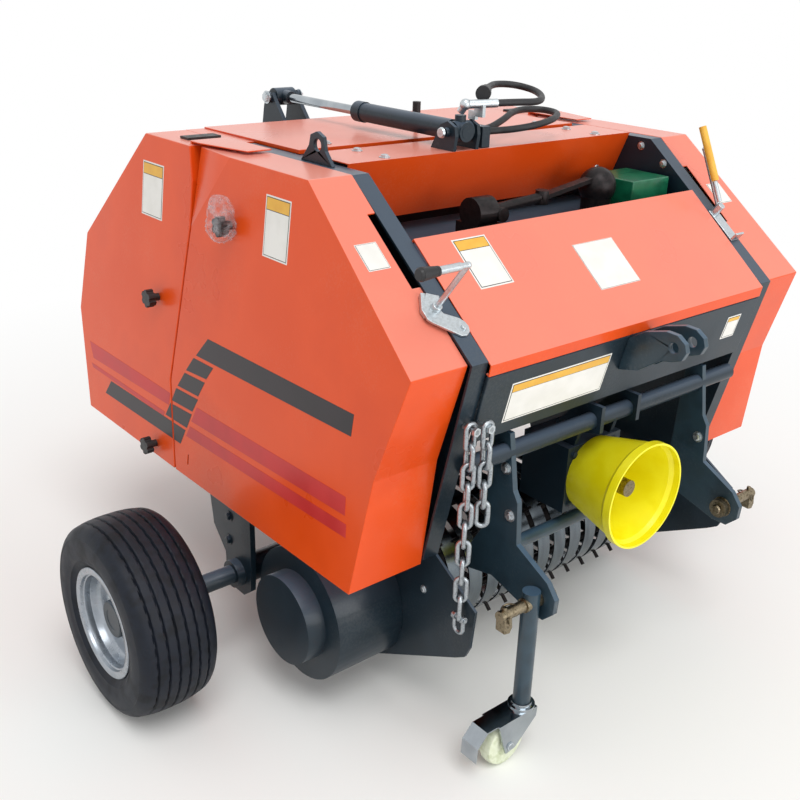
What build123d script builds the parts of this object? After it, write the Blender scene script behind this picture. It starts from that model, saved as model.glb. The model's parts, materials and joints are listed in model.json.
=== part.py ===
from build123d import *
import math
import os

os.makedirs("parts", exist_ok=True)

# A mini round baler for the tractor's three-point hitch, parked on two transport wheels
# and a caster leg. Millimetres. +Z is up, +Y points to the rear, +X to the machine's left.
# The drawing is measured from the ground under the wheel axle, on the centre plane. The
# saved pieces have their origin AXLE_AHEAD behind that, under the middle of the machine.

# ---------------------------------------------------------------- driving dimensions
AXLE_AHEAD = 20.0           # axle in front of the saved origin
SHEET = 3.0                 # folded cover sheet
SEAT = 0.3                  # pieces that lie against each other
MOVE_GAP = 5.0              # pieces that move past each other
RUN_GAP = 0.05              # radial running clearance of a shaft in its bore

CHAMBER_HALF = 399.0        # inner face of each chassis side plate
PLATE_T = 6.0               # side plate
BAR_W = 37.0                # folded edge of the side plate
BAR_T = 5.0
TOP_Z = 1055.0              # roof of the side covers
BOTTOM_Z = 372.0            # lower edge of the side covers
COVER_TOP_HALF = 529.4      # half width over the covers at TOP_Z
COVER_BOTTOM_HALF = 603.4   # half width over the covers at BOTTOM_Z
JOGGLE_DEPTH = 14.0         # top rear corner of the front cover, pressed in
WING_Y = 50.0               # front edge of the rear cover's roof wing
V_GAP = 16.0                # opening of the seam at the roof
KNOB_R = 19.0
ROOF_RAISE = 6.0            # raised roof panels above the side covers
ROOF_FRONT_Y = -142.0       # front edge of the roof, over the twine bay
BAY_WALL = (-92.0, 938.0)   # lower edge of the twine bay's rear wall
STRAP_W = 76.0

WHEEL_R = 200.0
TYRE_W = 165.0
WHEEL_X = 807.5
RIM_R = 113.0
BEAD_R = 101.0
AXLE_R = 20.0
HUB_R = 38.0
HANGER_X = 560.0
HANGER_T = 12.0

REEL_Y = -205.0
REEL_Z = 203.0
REEL_SHAFT_R = 15.0
BAND_R = 138.0              # inner face of the stripper bands
BAND_T = 3.0
BAND_W = 36.0
BAND_COUNT = 15
BAND_TAIL = 105.0           # straight legs of a band, behind the reel axis
CARRIER_D = 12.0
TINE_R = 158.0
TINE_T = 6.0
TINE_ROWS = 4
TINE_BAR_R = 95.0
DRUM_R = 138.0
DRUM_NOSE_R = 92.0
DRUM_NOSE_X = 600.0

HINGE_Y = 20.0
HINGE_Z = 1030.0
HINGE_R = 12.0
ROLLER_RING_Y = 120.0       # centre of the ring of chamber rollers
ROLLER_RING_Z = 690.0
ROLLER_RING_R = 310.0
ROLLER_R = 38.0

HITCH_X = 296.0             # outer face of the lower hitch plates
HITCH_T = 12.0
HITCH_Y = -590.0
HITCH_Z = 336.0
HITCH_PIN_R = 11.0
HITCH_PIN_TIP = 395.0
SHOULDER_R = 14.0           # pin's shoulder in the plate
TUBE_Y = -480.0             # upper cross tube
TUBE_Z = 590.0
TUBE_R = 17.0
LOW_TUBE_Y = -425.0
LOW_TUBE_Z = 335.0
LOW_TUBE_R = 14.0
TOP_LINK_Y = -625.0
TOP_LINK_Z = 777.0
TOP_LINK_HALF = 34.0
TOP_LINK_T = 12.0
TOP_LINK_BORE_R = 9.7

PTO_Z = 450.0
PTO_R = 17.45
PTO_TIP_Y = -547.0
PTO_COLLAR_R = 22.0
PTO_COLLAR_W = 4.0
GUARD_FRONT_Y = -588.0
GUARD_FRONT_R = 111.0
GUARD_BACK_R = 78.0
GUARD_T = 4.0
GEAR_FRONT_Y = -450.0
GEAR_HALF = 80.0

RAM_X = -110.0
RAM_FRONT_Y = -121.0
RAM_Z = 1096.0
RAM_REAR_Y = 500.0
RAM_GLAND_Y = 206.0
BARREL_R = 20.0
ROD_R = 10.0
RAM_PIN_R = 9.0
RAM_EAR_X = 26.0            # ram bracket's ears, inner faces from the ram's axis
RAM_EAR_T = 8.0
NUT_TOP = 31.0              # top of the port's nut above the ram's axis
LEVER_X = 28.0              # lever plates, inner faces from the ram's axis
LEVER_T = 10.0

LEG_X = -315.0
LEG_R = 17.0
CASTER_R = 48.0
CASTER_W = 30.0
CASTER_TRAIL = 48.0
CASTER_AXLE_R = 6.0
FORK_T = 4.0

HOSE_R = 7.0
LINK_PITCH = 38.0
LINK_HALF = 9.5             # half width of a chain link, at the wire's middle
WIRE_R = 4.0
TWINE_TRAY_Z = 900.0

# Faces that many pieces share.
PLATE_X = CHAMBER_HALF + PLATE_T          # outer face of the side plates
BAR_X = CHAMBER_HALF + BAR_W              # outer edge of the folded bar
BAR_MID = CHAMBER_HALF + BAR_W / 2
PANEL_HALF = CHAMBER_HALF - SEAT          # panels between the side plates
GATE_X = CHAMBER_HALF - MOVE_GAP - 2.0    # outer face of the tailgate plates
ROOF_Z = TOP_Z + ROOF_RAISE
HITCH_IN = HITCH_X - HITCH_T

# Side outline of the covers, front part and rear part, as (y, z).
SEAM = [(180.0, TOP_Z), (180.0, 900.0), (233.0, 563.0), (196.0, BOTTOM_Z)]
COVER_FRONT = [(-200.0, TOP_Z), (-515.0, 798.0), (-454.0, 605.0), (-423.0, BOTTOM_Z + 6.0)]
COVER_REAR = [(627.0, BOTTOM_Z), (693.0, 603.0), (662.0, 790.0), (385.0, TOP_Z)]

# Front edge of the chassis side plates, as (y, z), from the roof down.
BAR_LINE = [(172.0, TOP_Z - 1), (-200.0, TOP_Z - 1), (-525.0, 800.0), (-428.0, 389.0)]


# ---------------------------------------------------------------- helpers
def save(shape, name):
    """Write one piece, moved from the drawing's origin to the machine's."""
    export_step(Pos(0, -AXLE_AHEAD, 0) * shape, f"parts/{name}.step")


def plate_yz(points, x0, x1):
    """A plate of the outline points (y, z) from x0 to x1."""
    face = Plane.YZ * make_face(Polyline(*points, close=True))
    return Pos(min(x0, x1), 0, 0) * extrude(face, amount=abs(x1 - x0))


def plate_xz(points, y0, y1):
    """A plate of the outline points (x, z) from y0 to y1."""
    face = Plane.XZ * make_face(Polyline(*points, close=True))
    return Pos(0, max(y0, y1), 0) * extrude(face, amount=abs(y1 - y0))


def bar_x(y, z, radius, x0, x1):
    """A round bar along X."""
    return Pos((x0 + x1) / 2, y, z) * Rot(0, 90, 0) * Cylinder(radius, abs(x1 - x0))


def bar_y(x, z, radius, y0, y1):
    """A round bar along Y."""
    return Pos(x, (y0 + y1) / 2, z) * Rot(90, 0, 0) * Cylinder(radius, abs(y1 - y0))


def bar_z(x, y, radius, z0, z1):
    """An upright round bar."""
    return Pos(x, y, (z0 + z1) / 2) * Cylinder(radius, abs(z1 - z0))


def block(x0, x1, y0, y1, z0, z1):
    """A box between two corners."""
    middle = Pos((x0 + x1) / 2, (y0 + y1) / 2, (z0 + z1) / 2)
    return middle * Box(abs(x1 - x0), abs(y1 - y0), abs(z1 - z0))


def rod_between(a, b, radius):
    """A round rod from point a to point b."""
    path = Vector(*b) - Vector(*a)
    middle = (Vector(*a) + Vector(*b)) * 0.5
    return Plane(origin=middle, z_dir=path.normalized()) * Cylinder(radius, path.length)


def offset_line(points, distance):
    """The open line moved by distance to the right of its direction, corners mitred."""
    out = []
    for i, (y, z) in enumerate(points):
        normals = []
        for a, b in ((i - 1, i), (i, i + 1)):
            if a < 0 or b >= len(points):
                continue
            dy = points[b][0] - points[a][0]
            dz = points[b][1] - points[a][1]
            size = math.hypot(dy, dz)
            normals.append((dz / size, -dy / size))
        ny = sum(n[0] for n in normals)
        nz = sum(n[1] for n in normals)
        size = math.hypot(ny, nz)
        ny, nz = ny / size, nz / size
        reach = distance / (ny * normals[0][0] + nz * normals[0][1])
        out.append((y + ny * reach, z + nz * reach))
    return out


def strip_yz(points, thickness, x0, x1):
    """A folded strip whose outer face follows points (y, z); it thickens to the right hand
    of the walking direction, in the Y-Z plane."""
    inner = offset_line(points, thickness)
    return plate_yz(points + inner[::-1], x0, x1)


def both(shape):
    """The shape and its mirror image on the machine's other side."""
    return shape + mirror(shape, about=Plane.YZ)


def line_z(line, y):
    """Height at y of the sloping line from its first to its second point."""
    (y0, z0), (y1, z1) = line
    return z0 + (z1 - z0) * (y - y0) / (y1 - y0)


def cover_half(z, less=0.0):
    """Half width over the covers at height z, less the given depth."""
    slope = (COVER_TOP_HALF - COVER_BOTTOM_HALF) / (TOP_Z - BOTTOM_Z)
    return COVER_TOP_HALF + slope * (z - TOP_Z) - less


# ---------------------------------------------------------------- chassis side plates
SKIRT = [
    (-540.0, 322.0),
    (-532.0, 240.0),
    (-520.0, 214.0),
    (-495.0, 198.0),
    (-283.0, 81.0),
    (-245.0, 60.0),
    (-205.0, 54.0),
    (-98.0, 54.0),
    (-75.0, 120.0),
    (-40.0, 152.0),
    (40.0, 152.0),
    (110.0, 330.0),
    (200.0, 376.0),
    (228.0, 563.0),
    (172.0, 1054.0),
]
plate = plate_yz(BAR_LINE[1:] + SKIRT, CHAMBER_HALF, PLATE_X)
plate += strip_yz(BAR_LINE[::-1], BAR_T, CHAMBER_HALF, BAR_X)
plate -= bar_x(REEL_Y, REEL_Z, REEL_SHAFT_R + RUN_GAP, CHAMBER_HALF - 1, BAR_X)
plate -= bar_x(HINGE_Y, HINGE_Z, HINGE_R + RUN_GAP, CHAMBER_HALF - 1, PLATE_X + 1)
save(both(plate), "side_plates")


# ---------------------------------------------------------------- side covers
def lean_wedge(inner_x, less, pressed):
    """The space under the covers' leaning outer face, with the pressed corner if asked."""
    low, high = BOTTOM_Z - 150.0, TOP_Z + 150.0
    depth = 1000.0
    outline = [
        (inner_x, low),
        (inner_x, high),
        (cover_half(high, less), high),
        (cover_half(low, less), low),
    ]
    space = plate_xz(outline, -depth, depth)
    if pressed:
        seam_y = SEAM[0][0]
        front = Vector(cover_half(TOP_Z, less), WING_Y, TOP_Z)
        foot = Vector(cover_half(SEAM[1][1], less), seam_y, SEAM[1][1])
        corner = Vector(cover_half(TOP_Z, less + JOGGLE_DEPTH), seam_y, TOP_Z)
        out = (foot - front).cross(corner - front).normalized()
        side = Plane(origin=front, z_dir=out if out.X > 0 else out * -1)
        space -= side * Pos(0, 0, depth / 2) * Box(depth, depth, depth)
    return space


def side_cover(outline, pressed=False):
    """A tray of folded sheet, open towards the side plate."""
    inner_x = BAR_X + SEAT
    reach = COVER_BOTTOM_HALF + 100.0
    outer = plate_yz(outline, 0, reach) & lean_wedge(inner_x, 0, pressed)
    face = Plane.YZ * offset(make_face(Polyline(*outline, close=True)), amount=-SHEET)
    inner = extrude(face, amount=reach) & lean_wedge(inner_x - 10, SHEET, pressed)
    return outer - inner


NOTCH_IN = BAR_X - 6.0
NOTCH_OUT = BAR_X + 17.0
cover = side_cover(COVER_FRONT + SEAM[::-1], pressed=True)
# The front flange is cut out beside the folded bar, where the twine ball shows.
cover -= plate_yz([(-275.0, 1010.0), (-400.0, 912.0), (-385.0, 893.0), (-260.0, 991.0)], NOTCH_IN, NOTCH_OUT)
# A short upright slot near the seam's foot.
cover -= block(BAR_X + 50, COVER_BOTTOM_HALF + 10, 144, 148, 400, 424)
save(cover, "cover_front_left")
save(mirror(cover, about=Plane.YZ), "cover_front_right")

rear_seam = [(y + MOVE_GAP, z) for y, z in SEAM[1:]]
seam_top = SEAM[0][0] + MOVE_GAP
rear_seam = [(seam_top + V_GAP, TOP_Z), (seam_top, TOP_Z - 65.0)] + rear_seam
cover = side_cover(rear_seam + COVER_REAR)
# The roof wing lies over the front cover's roof, a moving gap above it.
wing_low = TOP_Z + MOVE_GAP
wing_side = COVER_TOP_HALF - 8.0
wing = block(BAR_X + SEAT, wing_side, WING_Y, seam_top + V_GAP + 12, wing_low, wing_low + SHEET)
wing += block(BAR_X + SEAT, wing_side, seam_top + V_GAP + 6, seam_top + V_GAP + 12, TOP_Z - SHEET, wing_low + SHEET)
tip = [(WING_Y - 1, wing_side - 30), (WING_Y - 1, wing_side + 1), (seam_top, wing_side + 1)]
wing -= Pos(0, 0, wing_low - 1) * extrude(make_face(Polyline(*[(x, y) for y, x in tip], close=True)), amount=SHEET + 2)
cover += wing
save(cover, "cover_rear_left")
save(mirror(cover, about=Plane.YZ), "cover_rear_right")


def knob(y, z):
    """A star knob standing on a side cover."""
    foot = cover_half(z - 8.0)
    stem = 14.0
    head = 16.0
    shape = bar_x(y, z, 8.0, foot + SEAT, foot + stem)
    shape += bar_x(y, z, KNOB_R, foot + stem, foot + stem + head)
    for i in range(6):
        angle = math.radians(60 * i)
        cy = y + (KNOB_R + 1) * math.cos(angle)
        cz = z + (KNOB_R + 1) * math.sin(angle)
        shape -= bar_x(cy, cz, 5.0, foot + stem - 1, foot + stem + head + 1)
    return shape


save(both(knob(32.0, 933.0)), "front_cover_knobs")
save(both(knob(301.0, 728.0) + knob(286.0, 400.0)), "rear_cover_knobs")
strap_out = COVER_TOP_HALF - 28
strap = block(strap_out - STRAP_W, strap_out, 256, 289, TOP_Z + SEAT, TOP_Z + 5)
save(both(strap), "cover_straps")

# ---------------------------------------------------------------- front panels and roof
panel_line = [(-519.0, 776.0), (-527.0, 773.0), (-531.0, 795.0), (-326.0, 963.0), (-318.0, 954.0)]
save(strip_yz(panel_line, SHEET, -PANEL_HALF, PANEL_HALF), "front_panel")

roof_hinge_y = HINGE_Y - 30
top_line = [BAY_WALL, (ROOF_FRONT_Y, ROOF_Z), (roof_hinge_y, ROOF_Z)]
top_cover = strip_yz(top_line, SHEET, -PANEL_HALF, PANEL_HALF)
save(top_cover, "top_cover")

# ---------------------------------------------------------------- headstock
HEAD_LINE = [(-494.0, 640.0), (-526.5, 771.0)]
head = strip_yz(HEAD_LINE, 6.0, -PANEL_HALF, PANEL_HALF)
save(head, "headstock_panel")
tubes = bar_x(TUBE_Y, TUBE_Z, TUBE_R, -PANEL_HALF, PANEL_HALF)
save(tubes, "cross_tube")
low_reach = HITCH_IN - SEAT
save(bar_x(LOW_TUBE_Y, LOW_TUBE_Z, LOW_TUBE_R, -low_reach, low_reach), "low_tube")

ear = plate_yz(
    [
        (-509.3, 700.0),
        (-526.2, 768.0),
        (-560.0, 790.0),
        (-605.0, 803.0),
        (-630.0, 802.0),
        (-648.0, 790.0),
        (-653.0, 775.0),
        (-645.0, 758.0),
        (-625.0, 750.0),
        (-600.0, 745.0),
        (-555.0, 712.0),
    ],
    TOP_LINK_HALF - TOP_LINK_T,
    TOP_LINK_HALF,
)
ear -= bar_x(TOP_LINK_Y, TOP_LINK_Z, TOP_LINK_BORE_R, 0, TOP_LINK_HALF + 20)
save(both(ear), "top_link_ears")

# ---------------------------------------------------------------- lower hitch
hitch = plate_yz(
    [
        (-450.0, 630.0),
        (-490.0, 630.0),
        (-508.0, 522.0),
        (-521.0, 502.0),
        (-527.0, 418.0),
        (-608.0, 377.0),
        (-630.0, 350.0),
        (-628.0, 320.0),
        (-605.0, 297.0),
        (-570.0, 297.0),
        (-470.0, 325.0),
        (-405.0, 310.0),
        (-405.0, 360.0),
        (-440.0, 420.0),
    ],
    HITCH_IN,
    HITCH_X,
)
hitch -= bar_x(TUBE_Y, TUBE_Z, TUBE_R + SEAT, HITCH_IN - 10, HITCH_X + 10)
hitch -= bar_x(HITCH_Y, HITCH_Z, SHOULDER_R + SEAT, HITCH_IN - 10, HITCH_X + 10)
save(both(hitch), "hitch_plates")


def hitch_pin(shoulder_end):
    """Lower link pin, from the nut inside the plate to the tip, with a thicker shoulder."""
    flange = HITCH_X + SEAT
    shape = bar_x(HITCH_Y, HITCH_Z, SHOULDER_R, HITCH_IN - 20, shoulder_end)
    shape += bar_x(HITCH_Y, HITCH_Z, HITCH_PIN_R, shoulder_end, HITCH_PIN_TIP)
    shape += bar_x(HITCH_Y, HITCH_Z, SHOULDER_R + 6, HITCH_IN - 18, HITCH_IN - SEAT)
    if shoulder_end < flange + 10:
        shape += bar_x(HITCH_Y, HITCH_Z, SHOULDER_R + 6, flange, shoulder_end)
    return shape


LEG_OUT = abs(LEG_X) + LEG_R
pins = hitch_pin(HITCH_X + 8.0) + mirror(hitch_pin(LEG_OUT + 3.0), about=Plane.YZ)
save(pins, "hitch_pins")

# ---------------------------------------------------------------- gearbox, stub and guard
GEAR_BACK_Y = GEAR_FRONT_Y + 120.0
gear = block(-GEAR_HALF, GEAR_HALF, GEAR_FRONT_Y, GEAR_BACK_Y, PTO_Z - 72, PTO_Z + 72)
hang = [(-445.0, 520.0), (-395.0, 520.0), (-395.0, 560.0), (-455.0, 625.0), (-505.0, 625.0)]
hang += [(-505.0, 570.0), (-455.0, 556.0)]
gear += both(plate_yz(hang, 50, 60))
gear -= bar_x(TUBE_Y, TUBE_Z, TUBE_R + SEAT, -100, 100)
gear -= bar_y(0, PTO_Z, PTO_COLLAR_R + RUN_GAP, GEAR_FRONT_Y - 1, GEAR_FRONT_Y + 30)
save(gear, "gearbox")
collar_y = GEAR_FRONT_Y - PTO_COLLAR_W
stub = bar_y(0, PTO_Z, PTO_R, PTO_TIP_Y, collar_y)
stub += bar_y(0, PTO_Z, PTO_COLLAR_R, collar_y, GEAR_FRONT_Y + 29)
save(stub, "pto_stub")

back_y = GEAR_FRONT_Y - SEAT
RING_R = 30.0
guard_line = [
    (RING_R, back_y),
    (GUARD_BACK_R, back_y),
    (GUARD_FRONT_R - 6, GUARD_FRONT_Y + 24),
    (GUARD_FRONT_R, GUARD_FRONT_Y + 16),
    (GUARD_FRONT_R, GUARD_FRONT_Y),
    (GUARD_FRONT_R - GUARD_T, GUARD_FRONT_Y),
    (GUARD_FRONT_R - GUARD_T, GUARD_FRONT_Y + 14),
    (GUARD_FRONT_R - GUARD_T - 6, GUARD_FRONT_Y + 22),
    (GUARD_BACK_R - GUARD_T, back_y - GUARD_T),
    (RING_R, back_y - GUARD_T),
]
face = Plane.XY * make_face(Polyline(*guard_line, close=True))
save(Pos(0, 0, PTO_Z) * revolve(face, Axis.Y, 360), "pto_guard")


# ---------------------------------------------------------------- pickup
def u_band(x0, x1):
    """A bright steel band bent in a U round the front of the reel."""
    back = REEL_Y + BAND_TAIL
    inner, outer = BAND_R, BAND_R + BAND_T
    line = Line((back, REEL_Z + inner), (back, REEL_Z + outer))
    line += Line((back, REEL_Z + outer), (REEL_Y, REEL_Z + outer))
    line += ThreePointArc((REEL_Y, REEL_Z + outer), (REEL_Y - outer, REEL_Z), (REEL_Y, REEL_Z - outer))
    line += Line((REEL_Y, REEL_Z - outer), (back, REEL_Z - outer))
    line += Line((back, REEL_Z - outer), (back, REEL_Z - inner))
    line += Line((back, REEL_Z - inner), (REEL_Y, REEL_Z - inner))
    line += ThreePointArc((REEL_Y, REEL_Z - inner), (REEL_Y - inner, REEL_Z), (REEL_Y, REEL_Z + inner))
    line += Line((REEL_Y, REEL_Z + inner), (back, REEL_Z + inner))
    return Pos(x0, 0, 0) * extrude(Plane.YZ * make_face(line), amount=x1 - x0)


pitch = 2 * (CHAMBER_HALF - 9) / BAND_COUNT
bands = []
for i in range(BAND_COUNT):
    x = (i - (BAND_COUNT - 1) / 2) * pitch
    bands.append(u_band(x - BAND_W / 2, x + BAND_W / 2))
save(Part() + bands, "stripper_bands")
carrier_back = REEL_Y + BAND_TAIL
over = REEL_Z + BAND_R + BAND_T + SEAT
under = REEL_Z - BAND_R + SEAT
carriers = block(-PANEL_HALF, PANEL_HALF, carrier_back - CARRIER_D, carrier_back, over, over + 6)
carriers += block(-PANEL_HALF, PANEL_HALF, carrier_back - CARRIER_D, carrier_back, under, under + 6)
save(carriers, "band_carriers")

reel_half = CHAMBER_HALF - 14.0
reel = bar_x(REEL_Y, REEL_Z, 40.0, -reel_half, reel_half)
reel += both(bar_x(REEL_Y, REEL_Z, REEL_SHAFT_R, reel_half - 5, PLATE_X - 1))
tines = []
for i in range(TINE_ROWS):
    turn = 45 + 360 / TINE_ROWS * i
    angle = math.radians(turn)
    cy = REEL_Y + TINE_BAR_R * math.cos(angle)
    cz = REEL_Z + TINE_BAR_R * math.sin(angle)
    reel += bar_x(cy, cz, 8.0, -reel_half, reel_half)
    for k in range(BAND_COUNT - 1):
        x = (k - (BAND_COUNT - 2) / 2) * pitch
        inner = TINE_BAR_R - 5
        tine = Pos(x, REEL_Y, REEL_Z) * Rot(turn, 0, 0) * Pos(0, (inner + TINE_R) / 2, 0)
        tines.append(tine * Box(TINE_T, TINE_R - inner, TINE_T))
for x in (-reel_half + 5, -2, reel_half - 9):
    reel += bar_x(REEL_Y, REEL_Z, TINE_BAR_R + 10, x, x + 4)
reel += tines
save(reel, "pickup_reel")

drum = bar_x(REEL_Y, REEL_Z, DRUM_R, -PLATE_X - SEAT, -HANGER_X)
drum += bar_x(REEL_Y, REEL_Z, DRUM_NOSE_R, -HANGER_X, -DRUM_NOSE_X)
save(drum, "drum_case")


# ---------------------------------------------------------------- rollers seen from below
def rollers(angles, half):
    """Chamber rollers on their ring, at degrees from the rear, over the given half width."""
    shapes = []
    for angle in angles:
        y = ROLLER_RING_Y + ROLLER_RING_R * math.cos(math.radians(angle))
        z = ROLLER_RING_Z + ROLLER_RING_R * math.sin(math.radians(angle))
        shapes.append(bar_x(y, z, ROLLER_R, -half, half))
    return Part() + shapes


save(rollers((210, 232, 254), PANEL_HALF), "rollers_front")
save(rollers((286, 308, 330), GATE_X - PLATE_T - SEAT), "rollers_rear")

# ---------------------------------------------------------------- axle hangers and wheels
hanger = plate_yz(
    [
        (-50.0, 362.0),
        (110.0, 362.0),
        (95.0, 274.0),
        (50.0, 226.0),
        (48.0, 175.0),
        (20.0, 152.0),
        (-20.0, 152.0),
        (-48.0, 175.0),
        (-52.0, 226.0),
    ],
    HANGER_X,
    HANGER_X + HANGER_T,
)
hanger += bar_x(0, WHEEL_R, AXLE_R + 10, PLATE_X + SEAT, HANGER_X + 30)
hanger += block(PLATE_X + SEAT, HANGER_X, -20, 70, 330, 362)
hanger += bar_x(0, WHEEL_R, AXLE_R, HANGER_X, WHEEL_X + HUB_R + 7)
save(both(hanger), "axle_hangers")

tyre_side = TYRE_W / 2
tyre_half = [
    (BEAD_R + SEAT, tyre_side - 14),
    (RIM_R + 0.5, tyre_side - 14),
    (RIM_R + 27, tyre_side),
    (WHEEL_R - 15, tyre_side - 5),
    (WHEEL_R, tyre_side - 28),
]
tyre_line = [(x, r) for r, x in tyre_half] + [(-x, r) for r, x in tyre_half[::-1]]
tyre = revolve(Plane.XZ * make_face(Polyline(*tyre_line, close=True)), Axis.X, 360)
rim_side = tyre_side - 14 + SEAT
rim_line = [
    (rim_side, BEAD_R),
    (rim_side, RIM_R),
    (rim_side + 4.5, RIM_R),
    (rim_side + 4.5, 97.0),
    (36.0, 88.0),
    (28.0, 60.0),
    (18.0, 60.0),
    (26.0, 94.0),
    (-rim_side - 4.5, 97.0),
    (-rim_side - 4.5, RIM_R),
    (-rim_side, RIM_R),
    (-rim_side, BEAD_R),
]
rim = revolve(Plane.XZ * make_face(Polyline(*rim_line, close=True)), Axis.X, 360)
hub = bar_x(0, 0, 62.0, 16, 28) + bar_x(0, 0, HUB_R, -40, 52)
hub -= bar_x(0, 0, AXLE_R + RUN_GAP, -41, 46)
for side, x, turn in (("left", WHEEL_X, 0), ("right", -WHEEL_X, 180)):
    place = Pos(x, 0, WHEEL_R) * Rot(0, 0, turn)
    save(place * tyre, f"tyre_{side}")
    save(place * (rim + hub), f"rim_{side}")

# ---------------------------------------------------------------- caster leg
SWIVEL_Z = 118.0
leg = bar_z(LEG_X, HITCH_Y, LEG_R, SWIVEL_Z, HITCH_Z + 24)
leg -= bar_x(HITCH_Y, HITCH_Z, SHOULDER_R + RUN_GAP, LEG_X - 30, LEG_X + 30)
save(leg, "caster_leg")
wheel_x = LEG_X - CASTER_TRAIL
plate_low = SWIVEL_Z - 15.0
cheek_half = CASTER_W / 2 + MOVE_GAP
fork = bar_z(LEG_X, HITCH_Y, 26, plate_low, SWIVEL_Z - 6)
fork += bar_z(LEG_X, HITCH_Y, 20, SWIVEL_Z - 6, SWIVEL_Z - SEAT)
fork += block(wheel_x - 32, LEG_X + 20, HITCH_Y - cheek_half - FORK_T, HITCH_Y + cheek_half + FORK_T,
              plate_low, plate_low + FORK_T)
cheek = [(LEG_X + 20, plate_low + 1), (LEG_X + 18, 86.0), (wheel_x + 14, 38.0), (wheel_x - 10, 34.0)]
cheek += [(wheel_x - 18, 56.0), (wheel_x - 32, plate_low + 1)]
for y0 in (HITCH_Y - cheek_half - FORK_T, HITCH_Y + cheek_half):
    fork += plate_xz(cheek, y0, y0 + FORK_T)
pedal = [(wheel_x - 31, plate_low + FORK_T), (wheel_x - 60, plate_low + FORK_T), (wheel_x - 84, 82.0), (wheel_x - 86, 50.0)]
pedal_under = [(x + 2.0, z - FORK_T + 1) for x, z in pedal[::-1]]
fork += plate_xz(pedal + pedal_under, HITCH_Y - cheek_half, HITCH_Y + cheek_half)
fork += bar_y(wheel_x, CASTER_R, CASTER_AXLE_R, HITCH_Y - cheek_half - 8, HITCH_Y + cheek_half + 8)
save(fork, "caster_fork")
roll = bar_y(wheel_x, CASTER_R, CASTER_R, HITCH_Y - CASTER_W / 2, HITCH_Y + CASTER_W / 2)
roll -= bar_y(wheel_x, CASTER_R, CASTER_AXLE_R + RUN_GAP, HITCH_Y - CASTER_W, HITCH_Y + CASTER_W)
save(roll, "caster_wheel")

# ---------------------------------------------------------------- tailgate
skin_line = [(183.0, TOP_Z)] + COVER_REAR[::-1]
under_skin = offset_line([(HINGE_Y, TOP_Z)] + COVER_REAR[::-1], SHEET + SEAT)
gate_plate = plate_yz(
    [(-4.0, 1040.0), (5.0, 1051.0)]
    + under_skin
    + [(208.0, 376.0), (240.0, 563.0), (215.0, 985.0), (20.0, 1000.0), (-4.0, 1012.0)],
    GATE_X - PLATE_T,
    GATE_X,
)
gate_plate += bar_x(HINGE_Y, HINGE_Z, HINGE_R, GATE_X, PLATE_X - 0.5)
gate = both(gate_plate)
gate += bar_x(HINGE_Y, HINGE_Z, HINGE_R + MOVE_GAP, -GATE_X + PLATE_T, GATE_X - PLATE_T)
save(gate, "tailgate_plates")

roof_back = COVER_REAR[3][0] - 2.0
lip_y = HINGE_Y + MOVE_GAP
roof_edge = TOP_Z + SEAT
lip_foot = TOP_Z - 2.5
skin = strip_yz(skin_line, SHEET, -BAR_X, BAR_X)
raised_line = [(lip_y, lip_foot), (lip_y, ROOF_Z), (roof_back, roof_edge + SHEET)]
skin += strip_yz(raised_line, SHEET, -GATE_X, GATE_X)
cheek = [(lip_y, lip_foot), (lip_y, ROOF_Z), (roof_back, roof_edge + SHEET), (roof_back, roof_edge)]
cheek += [(182.0, roof_edge), (182.0, lip_foot)]
skin += both(plate_yz(cheek, GATE_X - SHEET, GATE_X))
save(skin, "tailgate_skin")

knob_y = 138.0
knob_foot = line_z([(lip_y, ROOF_Z), (roof_back, roof_edge + SHEET)], knob_y - 5) + SEAT
roof_knob = bar_z(0, knob_y, 5, knob_foot, ROOF_Z + 32) + bar_z(0, knob_y, 9, ROOF_Z + 32, ROOF_Z + 57)
save(roof_knob, "roof_knob")

# ---------------------------------------------------------------- ram and its brackets
GATE_SLOPE = [COVER_REAR[3], COVER_REAR[2]]
slope_rise = math.atan2(GATE_SLOPE[0][1] - GATE_SLOPE[1][1], GATE_SLOPE[1][0] - GATE_SLOPE[0][0])
lift = SEAT / math.cos(slope_rise)
lever_back, lever_front = RAM_REAR_Y + 60, RAM_REAR_Y - 80
lever_line = [
    (lever_front, line_z(GATE_SLOPE, lever_front) + lift),
    (lever_back, line_z(GATE_SLOPE, lever_back) + lift),
    (RAM_REAR_Y + 24, RAM_Z - 21),
    (RAM_REAR_Y + 12, RAM_Z + 7),
    (RAM_REAR_Y - 10, RAM_Z + 11),
    (RAM_REAR_Y - 22, RAM_Z - 6),
]
lever = Part()
for way in (-1, 1):
    lever += plate_yz(lever_line, RAM_X + way * LEVER_X, RAM_X + way * (LEVER_X + LEVER_T))
    head_x = RAM_X + way * (LEVER_X + LEVER_T)
    lever += bar_x(RAM_REAR_Y, RAM_Z, RAM_PIN_R + 4, head_x, head_x + way * 7)
save(lever, "ram_lever")

ear_foot = ROOF_Z + SEAT
ram_ear = [
    (RAM_FRONT_Y - 20, ear_foot),
    (RAM_FRONT_Y + 46, ear_foot),
    (RAM_FRONT_Y + 21, RAM_Z + 12),
    (RAM_FRONT_Y, RAM_Z + 21),
    (RAM_FRONT_Y - 21, RAM_Z + 12),
    (RAM_FRONT_Y - 24, RAM_Z - 6),
]
bracket = Part()
for way in (-1, 1):
    bracket += plate_yz(ram_ear, RAM_X + way * RAM_EAR_X, RAM_X + way * (RAM_EAR_X + RAM_EAR_T))
ear_out = RAM_EAR_X + RAM_EAR_T
bracket += bar_x(RAM_FRONT_Y, RAM_Z, RAM_PIN_R, RAM_X - ear_out - 8, RAM_X + ear_out + 8)
save(bracket, "ram_bracket")

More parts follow.
